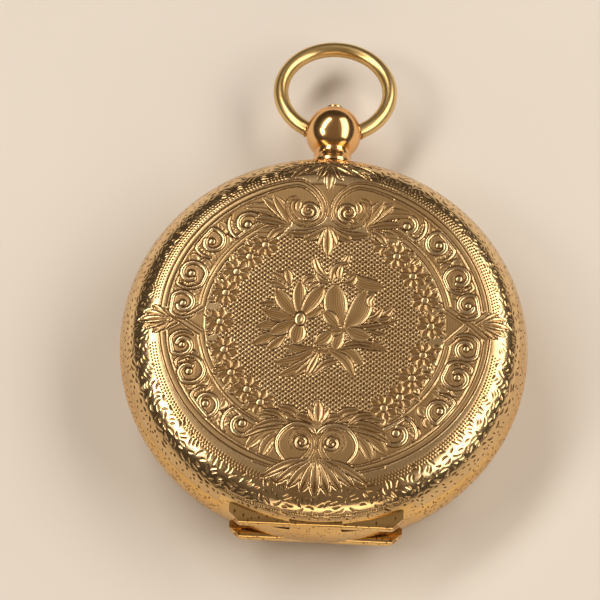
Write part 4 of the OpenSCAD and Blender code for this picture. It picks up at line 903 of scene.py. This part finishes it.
def draw_fern(plate, room):
    """Fans of four curved strokes on a loose lattice, larger by the hinge and the pendant."""
    for row, ring_r in enumerate(FERN_ROWS):
        n = int(2 * math.pi * ring_r / FERN_PITCH)
        for i in range(n):
            a = 360 * (i + 0.5 * (row % 2) + rng.uniform(-0.18, 0.18)) / n
            if ring_r < 20.2 and (off(NORTH, a) < 9 or off(SOUTH, a) < 10):
                continue
            if ring_r > 21.5 and off(SOUTH, a) < 29:
                continue
            if ring_r < 20.8 and (off(WEST, a) < 3 or off(EAST, a) < 3):
                continue
            x, y = polar(ring_r + rng.uniform(-0.12, 0.12), a)
            way = a + rng.choice(FERN_WAYS) + rng.uniform(-20, 20)
            turn = rng.choice((-1, 1))
            size = 1.35 if off(SOUTH, a) < 80 or off(NORTH, a) < 40 else 1.0
            for j in range(4):
                spot = polar(-0.4, way, *polar(0.30 * size * (j - 1.5), way + 90, x, y))
                cut(plate, room, *spot, way + turn * 7 * (j - 1.5), (0.78 - 0.08 * j) * size,
                    turn * 65, 0.10 * size, 0.045 * size)

def draw_shoulder(plate):
    """Dots by the frame, fern on the shoulder, ticks at the rim and a milled strip by the hinge."""
    draw_dots(plate)
    room = Room(plate, FERN_GAP)
    draw_fern(plate, room)
    for ring_r, n in TICK_ROWS:
        for i in range(n):
            a = 360 * (i + rng.uniform(-0.4, 0.4)) / n
            x, y = polar(ring_r + rng.uniform(-0.2, 0.2), a)
            cut(plate, room, x, y, a + rng.uniform(30, 150), rng.uniform(0.28, 0.5),
                rng.uniform(-40, 40), 0.085, 0.085)
    for i in range(-38, 39):
        a = SOUTH + i * 0.72
        gouge(plate, curve(*polar(MILLED_R, a), a, 0.34, 0, 6), 0.07, 0.10)

print("rows of dots", len(DOT_ROWS), "rows of fern", len(FERN_ROWS))

# %% [markdown]
# The engraved covers. Each is a copy of the CAD cover with its outer faces taken off and a finely
# divided skin put in their place. The skin follows the same outline and is cut by the drawing, so
# the ornament is real relief, at most 0.14 mm deep, and the cover keeps its outside size.

# %% The outlines that the skins follow
TOP_Z, DOME_R, DOME_END, SHOULDER_R = 12.0, 504.75, 17.745, 5.0
SHOULDER_X, SHOULDER_Z, FRONT_EDGE_Z = 17.4, 6.7, 8.13
BACK_X, BACK_Z, BACK_EDGE_Z, FLAT_POINTS = 17.316, 4.97, 3.87, 300
BAND_X, BAND_Z, BAND_R, BAND_HALF = 15.0, 6.0, 7.4935, 2.07

class Outline:
    """A profile line: radius, height and outward normal for each length along it."""
    def __init__(self, r, z):
        self.r, self.z = np.asarray(r), np.asarray(z)
        self.s = np.concatenate([[0], np.cumsum(np.hypot(np.diff(self.r), np.diff(self.z)))])
        dr, dz = np.gradient(self.r, self.s), np.gradient(self.z, self.s)
        self.nr, self.nz = -dz, dr
    def at(self, s):
        return [np.interp(s, self.s, v) for v in (self.r, self.z, self.nr, self.nz)]

# %% Profiles of the covers and the band
def front_profile():
    """The shallow dome, then the round shoulder down to the edge."""
    r1 = np.linspace(0, DOME_END, 400)
    z1 = TOP_Z - DOME_R + np.sqrt(DOME_R ** 2 - r1 ** 2)
    a0 = math.asin((DOME_END - SHOULDER_X) / SHOULDER_R)
    a1 = math.acos((FRONT_EDGE_Z - SHOULDER_Z) / SHOULDER_R)
    a = np.linspace(a0, a1, 500)[1:]
    return Outline(np.concatenate([r1, SHOULDER_X + SHOULDER_R * np.sin(a)]),
                   np.concatenate([z1, SHOULDER_Z + SHOULDER_R * np.cos(a)]))

def back_profile():
    """The flat that lies on the table, then the round shoulder up to the edge."""
    r1 = np.linspace(0, BACK_X, FLAT_POINTS)
    a = np.linspace(0, math.acos((BACK_Z - BACK_EDGE_Z) / SHOULDER_R), 500)[1:]
    z2 = np.maximum(0, BACK_Z - SHOULDER_R * np.cos(a))
    return Outline(np.concatenate([r1, BACK_X + SHOULDER_R * np.sin(a)]),
                   np.concatenate([np.zeros_like(r1), z2]))

def band_profile():
    a1 = math.asin(BAND_HALF / BAND_R)
    a = np.linspace(-a1, a1, 120)
    return Outline(BAND_X + BAND_R * np.cos(a), BAND_Z + BAND_R * np.sin(a))

FRONT, BACK, BAND = front_profile(), back_profile(), band_profile()
print("arc lengths, mm:", [round(float(o.s[-1]), 2) for o in (FRONT, BACK, BAND)])

# %% [markdown]
# Grime settles, and shade falls, where a cell lies lower than the cells round it. That is the
# difference between the map and a blurred copy of it, a usual way to paint dirt and shade into
# the colour without tracing rays. Deep cells are darkened too, and cells that stand proud are kept
# clean, a painted highlight.

# %% Where the grime and painted shade lie
BLUR_CELLS, CUT_DEPTH, DEEP_FROM, DEEP_OVER, PROUD = 4, 0.045, 0.045, 0.07, 0.035
RELIEF = 0.14

def box_blur(h, k, axis):
    """The mean of the 2 k - 1 cells round each cell, along one axis."""
    pad = [(k, k) if ax == axis else (0, 0) for ax in (0, 1)]
    c = np.cumsum(np.pad(h, pad, "edge").astype(np.float64), axis)
    n = h.shape[axis]
    lo = np.take(c, np.arange(0, n), axis)
    hi = np.take(c, np.arange(2 * k - 1, 2 * k - 1 + n), axis)
    return (hi - lo) / (2 * k - 1)

def soot_and_shade_map(plate):
    """Grime and painted shade from 0 to 1, by how far a cell lies below its surroundings and by its
    depth; a cell that stands proud gets none, a painted highlight.
    """
    soft = plate.h
    for _ in range(2):
        soft = box_blur(box_blur(soft, BLUR_CELLS, 0), BLUR_CELLS, 1)
    near = np.clip((soft - plate.h) / CUT_DEPTH, 0, 1)
    deep = np.clip((-plate.h - DEEP_FROM) / DEEP_OVER, 0, 1)
    proud = np.clip((plate.h - soft) / PROUD, 0, 1)
    out = copy.copy(plate)
    # real grime and painted shade where a cell is low or deep; proud cells lose the base 0.12, a
    # painted highlight
    out.h = np.clip(0.12 * (1 - proud) + 0.65 * near + 0.42 * deep, 0, 1).astype(np.float32)
    return out

def cover_art(plate, outline):
    """Limits a cover's relief and finds its grime and painted shade: less on the shoulder, more in
    the ticks.
    """
    plate.h = np.clip(plate.h, -RELIEF, 0.0)
    soot_and_shade = soot_and_shade_map(plate)
    r = np.hypot(plate.x[None, :], plate.y[:, None])
    share = np.where(r < 18.3, 1.0, np.where((r > 19.4) & (r < 22.1), 0.75, 1.5))
    soot_and_shade.h = np.clip(soot_and_shade.h * share, 0, 1).astype(np.float32)
    return plate, soot_and_shade, outline

print("the trial cut's grime reaches", round(float(soot_and_shade_map(trial).h.max()), 2))

# %% [markdown]
# The skins. A subdivided copy with a displacement would have no say in where its points lie. Here
# the points are laid out: rings that follow the profile for the shoulder, and a square grid
# for the field, in step with the engine turning, so that every pit has the same number of points.

# %% Turn arrays into a mesh
UV_MM = 50

def mesh_from(name, co, quads, uv, soot_and_shade, finish):
    """A piece of the points that the quads use, with a uv map and the value of grime and painted
    shade.
    """
    used = np.unique(quads)
    new = np.full(len(co), -1)
    new[used] = np.arange(len(used))
    quads, flat_uv = new[quads], uv[quads.ravel()].astype(np.float32).ravel()
    mesh = bpy.data.meshes.new(name)
    mesh.vertices.add(len(used))
    mesh.vertices.foreach_set("co", (co[used] * MM).astype(np.float32).ravel())
    mesh.loops.add(quads.size)
    mesh.loops.foreach_set("vertex_index", quads.astype(np.int32).ravel())
    mesh.polygons.add(len(quads))
    mesh.polygons.foreach_set("loop_start", np.arange(0, quads.size, 4, dtype=np.int32))
    mesh.polygons.foreach_set("use_smooth", np.ones(len(quads), bool))
    mesh.update(calc_edges=True)
    mesh.validate()
    mesh.uv_layers.new(name="UVMap").data.foreach_set("uv", flat_uv)
    grime_and_shade = mesh.attributes.new("soot_and_shade", "FLOAT", "POINT")
    grime_and_shade.data.foreach_set("value", soot_and_shade[used].astype(np.float32))
    mesh.materials.append(finish)
    ob = bpy.data.objects.new(name, mesh)
    scene.collection.objects.link(ob)
    return ob

# %% A skin of rings
def place(outline, s, ca, sa, h, flip=1):
    """Points at length s along the outline, pushed in by the relief h."""
    r, z, nr, nz = outline.at(s)
    rr = r + nr * h * flip
    return np.stack([rr * ca, rr * sa, z + nz * h * flip], -1)

def ring_quads(rows, n):
    """Quads between closed rings of n points, and the row and column of each."""
    i, j = np.meshgrid(np.arange(rows - 1), np.arange(n), indexing="ij")
    i, j, j2 = i.ravel(), j.ravel(), ((j + 1) % n).ravel()
    return np.stack([i * n + j, (i + 1) * n + j, (i + 1) * n + j2, i * n + j2], -1), i, j

def annulus_skin(name, plate, soot_and_shade, outline, s, cell, finish, keep=None, flip=1):
    """Rings of quads at the lengths s along the outline."""
    n = int(round(2 * math.pi * (s[0] + s[-1]) / 2 / cell / 8)) * 8
    th = np.arange(n) * 2 * math.pi / n
    S, T = np.meshgrid(s, th, indexing="ij")
    X, Y = S * np.cos(T), S * np.sin(T)
    co = place(outline, S, np.cos(T), np.sin(T), plate.sample(X, Y), flip).reshape(-1, 3)
    quads, i, j = ring_quads(len(s), n)
    if keep is not None:
        quads = quads[keep((s[i] + s[i + 1]) / 2, th[j] + math.pi / n)]
    uv = np.stack([X, Y], -1).reshape(-1, 2) / UV_MM + 0.5
    return mesh_from(name, co, quads[:, ::flip], uv, soot_and_shade.sample(X, Y).ravel(), finish)

# %% A skin on a square grid
def disc_skin(name, plate, soot_and_shade, outline, radius, dx, dy, flip=1):
    """A square grid trimmed to a circle; its outer points are drawn onto the circle."""
    nx, ny = int(radius / dx) + 2, int(radius / dy) + 2
    X, Y = np.meshgrid(np.arange(-nx, nx + 1) * dx, np.arange(-ny, ny + 1) * dy)
    w = X.shape[1]
    i, j = np.meshgrid(np.arange(X.shape[0] - 1), np.arange(w - 1), indexing="ij")
    corner = i * w + j
    quads = np.stack([corner, corner + 1, corner + w + 1, corner + w], -1).reshape(-1, 4)
    x, y = X.ravel().copy(), Y.ravel().copy()
    mid = np.hypot(x[quads].mean(1), y[quads].mean(1))
    quads = quads[mid < radius - 0.25 * (dx + dy)]
    count = np.bincount(quads.ravel(), minlength=len(x))
    rim = (count > 0) & (count < 4)
    r = np.hypot(x[rim], y[rim])
    x[rim] *= radius / r
    y[rim] *= radius / r
    R = np.hypot(x, y)
    safe = np.maximum(R, 1e-9)
    co = place(outline, R, x / safe, y / safe, plate.sample(x, y), flip)
    uv = np.stack([x, y], -1) / UV_MM + 0.5
    return mesh_from(name, co, quads[:, ::flip], uv, soot_and_shade.sample(x, y), SATIN)

print("quads between two rings of eight points:", len(ring_quads(2, 8)[0]))

# %% [markdown]
# The base of each engraved piece is its own CAD mesh without the faces that the skin takes over.
# Cuts along a few planes make the faces end where the skin begins. The faces by the hinge stay,
# as the knuckles grow out of them, and get the ticked gold.

# %% Round the hinge and the pendant's foot
HINGE_HALF, FOOT_HALF = math.radians(28.6), math.radians(7.0)
HINGE_Z_FRONT, HINGE_Z_BACK = 9.15, 2.85
KNUCKLE_SIDE_R, KNUCKLE_END_R, CREASE = 19.5, 20.2, math.radians(28)

def from_south(c):
    """Angle of a point away from the hinge side, in radians."""
    return abs(math.atan2(c.x, -c.y))

def off_hinge(t):
    """The same for angles round the axis."""
    return np.abs((t - 1.5 * math.pi + math.pi) % (2 * math.pi) - math.pi)

def clear_above(limit):
    """Keeps the faces above a length along the outline, and those away from the hinge."""
    return lambda s, t: (s < limit) | (off_hinge(t) > HINGE_HALF)

def by_knuckles(c, n):
    """Whether a face is one of those that get the ticked gold."""
    r = math.hypot(c.x, c.y)
    outward = r > KNUCKLE_SIDE_R and c.x * n.x + c.y * n.y > 0
    level = r > KNUCKLE_END_R and abs(n.z) > 0.3
    return from_south(c) < HINGE_HALF + 0.01 and (outward or level)

# %% Copy a CAD piece without its outer faces
def base_without(node, name, cuts, drop, finish):
    """A copy of a node, cut along planes, without the faces that drop picks."""
    me = nodes[node].data.copy()
    me.name = name
    bm = bmesh.new()
    bm.from_mesh(me)
    bmesh.ops.remove_doubles(bm, verts=bm.verts, dist=1e-7)
    for co, no in cuts:
        geom = bm.verts[:] + bm.edges[:] + bm.faces[:]
        bmesh.ops.bisect_plane(bm, geom=geom, dist=1e-7, plane_co=Vector(co) * MM, plane_no=no)
    gone = [f for f in bm.faces if drop(f.calc_center_median() / MM, f.normal)]
    bmesh.ops.delete(bm, geom=gone, context="FACES")
    for f in bm.faces:
        f.smooth = True
    for e in bm.edges:
        e.smooth = len(e.link_faces) != 2 or e.calc_face_angle(0) < CREASE
    bm.to_mesh(me)
    bm.free()
    me.materials.clear()
    me.materials.append(finish)
    me.materials.append(TICKED)
    for f in me.polygons:
        f.material_index = int(by_knuckles(f.center / MM, f.normal))
    ob = bpy.data.objects.new(name, me)
    scene.collection.objects.link(ob)
    ticked = sum(f.material_index for f in me.polygons)
    print(name, "outer faces taken off:", len(gone), "ticked:", ticked)
    return ob

# %% Which faces the skins take over
def facing(c, n, cr, cz):
    """How squarely a face looks away from a point of the profile plane, and how far it is."""
    r = math.hypot(c.x, c.y)
    vr, vz = r - cr, c.z - cz
    size = math.hypot(vr, vz) or 1
    radial = (n.x * c.x + n.y * c.y) / (r or 1)
    return (radial * vr + n.z * vz) / size, size

def on_round(c, n, cr, cz, radius, slack):
    """Whether a face lies on the outside of a rounding of the profile."""
    look, size = facing(c, n, cr, cz)
    return look > 0.6 and abs(size - radius) < slack

def front_outer(c, n):
    if c.z < HINGE_Z_FRONT and from_south(c) < HINGE_HALF:
        return False
    if math.hypot(c.x, c.y) < SHOULDER_X + 1 and c.z > TOP_Z - 0.55:
        return n.z > 0.3 or c.z > TOP_Z - 0.42
    return on_round(c, n, SHOULDER_X, SHOULDER_Z, SHOULDER_R, 0.15) and c.z > FRONT_EDGE_Z - 0.02

def back_outer(c, n):
    if c.z > HINGE_Z_BACK and from_south(c) < HINGE_HALF:
        return False
    if math.hypot(c.x, c.y) < BACK_X:
        return c.z < 0.05 and n.z < -0.5
    return on_round(c, n, BACK_X, BACK_Z, SHOULDER_R, 0.15) and c.z < BACK_EDGE_Z + 0.02

def band_outer(c, n):
    if from_south(c) < HINGE_HALF or from_south(c) > math.pi - FOOT_HALF:
        return False
    return (on_round(c, n, BAND_X, BAND_Z, BAND_R, 0.06)
            and abs(c.z - BAND_Z) < BAND_HALF + 0.005)

# %% Make the three bases
def spoke(angle_from_south):
    """A plane through the watch's axis at this angle from the hinge side."""
    return ((0, 0, 0), (math.cos(angle_from_south), math.sin(angle_from_south), 0))

def level(z):
    """A level plane at the height z."""
    return ((0, 0, z), (0, 0, 1))

hinge_cuts = [spoke(HINGE_HALF), spoke(-HINGE_HALF)]
foot_cuts = [spoke(math.pi - FOOT_HALF), spoke(FOOT_HALF - math.pi)]
band_cuts = [level(BAND_Z - BAND_HALF), level(BAND_Z + BAND_HALF)] + hinge_cuts + foot_cuts
front_base = base_without("front_cover", "front_cover_shell",
                          [level(HINGE_Z_FRONT)] + hinge_cuts, front_outer, GOLD)
back_base = base_without("back_cover", "back_cover_shell",
                         [level(HINGE_Z_BACK)] + hinge_cuts, back_outer, GOLD)
band_base = base_without("case_middle", "case_middle_body", band_cuts, band_outer, WORN)

# %% Cut the front cover
FIELD_R, SCROLLS_END, MID_S = 12.4, 18.6, 21.2
front = cover_art(draw_front(), FRONT)
hinge_s = float(np.interp(-HINGE_Z_FRONT, -FRONT.z, FRONT.s))
end_s = FRONT.s[-1]
scroll_rows = np.linspace(FIELD_R, SCROLLS_END, 79)
upper_rows = np.linspace(SCROLLS_END, MID_S, 37)
lower_rows = np.concatenate([np.linspace(MID_S, hinge_s, 18), np.linspace(hinge_s, end_s, 22)[1:]])
print("hinge strip starts at", round(hinge_s, 2), "of", round(float(end_s), 2))

# %% Press the drawing into the front skins
cover_top = disc_skin("front_cover_field", *front, FIELD_R, PIT_X / 8, PIT_Y / 8)
cover_scrolls = annulus_skin("front_cover_scrolls", *front, scroll_rows, 0.079, SATIN)
cover_shoulder = annulus_skin("front_cover_shoulder", *front, upper_rows, 0.072, GOLD)
cover_rim = annulus_skin("front_cover_rim", *front, lower_rows, 0.072, GOLD,
                         clear_above(hinge_s))
for piece in (front_base, cover_top, cover_scrolls, cover_shoulder, cover_rim):
    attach(piece, "front_lid")
    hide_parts("front_cover")
skins = (cover_top, cover_scrolls, cover_shoulder, cover_rim)
print("front skin faces:", [len(o.data.polygons) for o in skins])

# %% [markdown]
# The back cover isn't in the photograph. Its drawing is a guess in the front's style: waves in
# the middle, as a rose engine cuts them, and a ring of rosettes and curls.

# %% Draw the back cover
BOSS_R, WAVES_FROM, GARLAND_R, SECTOR = 4.05, 4.3, 15.6, 15

def waves(X, Y, R):
    """Wavy rings, as a rose engine cuts them."""
    T = np.arctan2(Y, X)
    return -0.03 - 0.05 * (0.5 + 0.5 * np.cos(2 * np.pi * (R / 0.62 + 0.22 * np.cos(48 * T))))

def draw_back():
    plate = Plate(-SPAN, SPAN, -SPAN, SPAN, STEP)
    ring(plate, WAVES_FROM, MATTED_R, waves)
    ring(plate, MATTED_R, FRAME_R, matting)
    for r, n, half in ((BOSS_R, 60, 0.42), (COVER_R, 120, 0.42), (OUTER_R, 160, 0.50)):
        strap(plate, arc(r, 0, 360, n), half)
    for k in range(24):
        a = SECTOR * k
        c = polar(GARLAND_R, 7.5 + a)
        if k % 2:
            rosette(plate, *c, 1.25, 8, 7.5 + a)
        else:
            stem(plate, coil(*c, 1.15, 7.5 + a + 120, 1, 1.5), 0.2, 0.1)
            for lean in (-60, 60, 180):
                leaf(plate, *polar(1.25, a + lean, *c), a + lean + 30, 0.9, 0.24)
    draw_shoulder(plate)
    return plate

# %% Press the drawing into the back skins
BACK_SCROLLS_END = 17.0
back = cover_art(draw_back(), BACK)
back_hinge_s = float(np.interp(HINGE_Z_BACK, BACK.z[FLAT_POINTS:], BACK.s[FLAT_POINTS:]))
ring_rows = np.linspace(FIELD_R, BACK_SCROLLS_END, 45)
back_rows = np.concatenate([np.linspace(BACK_SCROLLS_END, back_hinge_s, 38),
                            np.linspace(back_hinge_s, BACK.s[-1], 13)[1:]])
back_field = disc_skin("back_cover_field", *back, FIELD_R, 0.11, 0.11, -1)
back_ring = annulus_skin("back_cover_scrolls", *back, ring_rows, 0.105, SATIN, flip=-1)
back_shoulder = annulus_skin("back_cover_shoulder", *back, back_rows, 0.12, GOLD,
                             clear_above(back_hinge_s), -1)
for piece in (back_base, back_field, back_ring, back_shoulder):
    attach(piece, "back_lid")
    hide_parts("back_cover")
skins = (back_field, back_ring, back_shoulder)
print("back skin faces:", [len(o.data.polygons) for o in skins])

# %% [markdown]
# The band between the covers is peppered with short ticks, cut one by one by hand. The map is
# rolled round the band, so its two ends meet.

# %% Draw the band
ROLL_R, BAND_TRIES, BAND_COLUMNS = 22.4, 1500, 1400

def draw_band():
    """Short ticks in all directions, wherever there is room."""
    plate = Plate(0, 2 * math.pi * ROLL_R, -2.2, 2.2, STEP, True)
    room = Room(plate, 0.15)
    for _ in range(BAND_TRIES):
        x, y = rng.uniform(0, 2 * math.pi * ROLL_R), rng.uniform(-1.75, 1.75)
        cut(plate, room, x, y, rng.uniform(0, 360), rng.uniform(0.32, 0.6),
            rng.uniform(-60, 60), 0.085, 0.08)
    return plate

# %% The band's skin
def band_skin():
    """A ring skin whose map runs round the band; it stops at the hinge and the foot."""
    plate = draw_band()
    plate.h = np.clip(plate.h, -0.12, 0.0)
    soot_and_shade = soot_and_shade_map(plate)
    # grime and painted shade in the band's ticks, stronger than on the covers
    soot_and_shade.h = np.clip(1.5 * soot_and_shade.h - 0.11, 0, 1)
    length, n = BAND.s[-1], BAND_COLUMNS
    th = np.arange(n) * 2 * math.pi / n
    S, T = np.meshgrid(np.linspace(0, length, 42), th, indexing="ij")
    U, V = T * ROLL_R, S - length / 2
    fade = np.clip(np.minimum(S, length - S) / 0.12, 0, 1)
    co = place(BAND, S, np.cos(T), np.sin(T), plate.sample(U, V) * fade, -1).reshape(-1, 3)
    quads, _, j = ring_quads(len(S), n)
    south = off_hinge(th[j] + math.pi / n)
    quads = quads[(south > HINGE_HALF) & (south < math.pi - FOOT_HALF)]
    quads = np.roll(quads[:, ::-1], 1, 1)  # the band's rows run upward, so its quads turn over
    uv = np.stack([U / 141, V / 141 + 0.5], -1).reshape(-1, 2)
    return mesh_from("case_band_skin", co, quads, uv, soot_and_shade.sample(U, V).ravel(), WORN)

band_ring = band_skin()
for piece in (band_base, band_ring):
    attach(piece, "case")
    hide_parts("case_middle")
print("band skin faces:", len(band_ring.data.polygons))

# %% [markdown]
# The dial. Roman figures stand with their feet to the centre, as on most enamel dials of the
# kind, and a track of sixty minutes runs round them. Each stroke is a thin raised patch of black
# enamel.

# %% Figures and minute track
DIAL_Z, PAINT_UNDER, PAINT_OVER = 7.7, 0.004, 0.016
FIGURE_R, FIGURE_H = 12.9, 3.3
TRACK_R, TRACK_W = 16.95, 0.8
FIGURES = ("XII", "I", "II", "III", "IIII", "V", "VI", "VII", "VIII", "IX", "X", "XI")
# a sign's width, then its strokes: from u, v to u, v, and the half width, in mm
HEADS = (((-1.0, 1), (-0.42, 1), 0.05), ((0.45, 1), (1.0, 1), 0.05))
SIGNS = {
    "I": (0.95, (((0, 0), (0, 1), 0.24), ((-0.42, 0), (0.42, 0), 0.05),
                 ((-0.42, 1), (0.42, 1), 0.05))),
    "V": (1.85, (((-0.72, 1), (0.02, 0), 0.24), ((0.72, 1), (0.02, 0), 0.06), *HEADS)),
    "X": (1.85, (((-0.72, 1), (0.72, 0), 0.24), ((0.72, 1), (-0.72, 0), 0.06), *HEADS,
                 ((-1.0, 0), (-0.45, 0), 0.05), ((0.42, 0), (1.0, 0), 0.05))),
}
print("signs:", sorted(SIGNS), "figures:", len(FIGURES))

# %% A raised patch of enamel
def patch(plan, along=8):
    """Points and quads of a patch; plan(s, side) is x, y for s from 0 to 1 and side -1 or 1."""
    left, right = (np.array([plan(t, k) for t in np.linspace(0, 1, along)]) for k in (-1, 1))
    low, high = DIAL_Z - PAINT_UNDER, DIAL_Z + PAINT_OVER
    rows = [np.column_stack([edge, np.full(along, z)])
            for edge, z in ((left, low), (left, high), (right, high), (right, low))]
    quads = [[a, a + 1, a + along + 1, a + along]
             for k in range(3) for a in range(k * along, (k + 1) * along - 1)]
    return np.vstack(rows), quads

def bent(hour, u, v):
    """A point of a figure, bent round the dial."""
    r = FIGURE_R + v * FIGURE_H
    a = math.radians(30 * hour) + u / (FIGURE_R + 0.5 * FIGURE_H)
    return r * math.sin(a), r * math.cos(a)

# %% Figures and track as patches
def figure_patches():
    for hour, text in enumerate(FIGURES):
        u = -sum(SIGNS[c][0] for c in text) / 2
        for c in text:
            width, strokes = SIGNS[c]
            for (u0, v0), (u1, v1), half in strokes:
                du, dv = u1 - u0, (v1 - v0) * FIGURE_H
                size = math.hypot(du, dv)
                nu, nv = -dv / size * half, du / size * half / FIGURE_H
                mid = u + width / 2
                yield patch(lambda s, k: bent(hour, mid + u0 + du * s + k * nu,
                                              v0 + (v1 - v0) * s + k * nv))
            u += width

def track_patches():
    for r in (TRACK_R, TRACK_R + TRACK_W):
        for q in range(12):
            yield patch(lambda s, k: polar(r + 0.035 * k, 30 * (q + s)), 9)
    for m in range(60):
        half = 0.11 if m % 5 == 0 else 0.04
        x, y = polar(1, 90 - 6 * m)
        yield patch(lambda s, k: ((TRACK_R + TRACK_W * s) * x - k * half * y,
                                  (TRACK_R + TRACK_W * s) * y + k * half * x), 3)

# %% Join the patches into one piece
def dial_marks():
    co, quads, base = [], [], 0
    for points, faces in [*figure_patches(), *track_patches()]:
        co.append(points)
        quads.append(np.array(faces) + base)
        base += len(points)
    co, quads = np.vstack(co), np.vstack(quads)
    a, b, c = co[quads[:, 0]], co[quads[:, 1]], co[quads[:, 2]]
    down = np.cross(b - a, c - b)[:, 2] < -1e-9
    quads[down] = quads[down][:, ::-1]
    uv = co[:, :2] / UV_MM + 0.5
    return mesh_from("dial_figures", co, quads, uv, np.zeros(len(co)), PAINT)

figures = dial_marks()
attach(figures, "case")
print("dial figures faces:", len(figures.data.polygons))

# %% [markdown]
# The colours were matched to the photograph without a film look, so the view is Standard. The
# skins may not make the watch bigger.

# %% View
scene.view_settings.view_transform = "Standard"
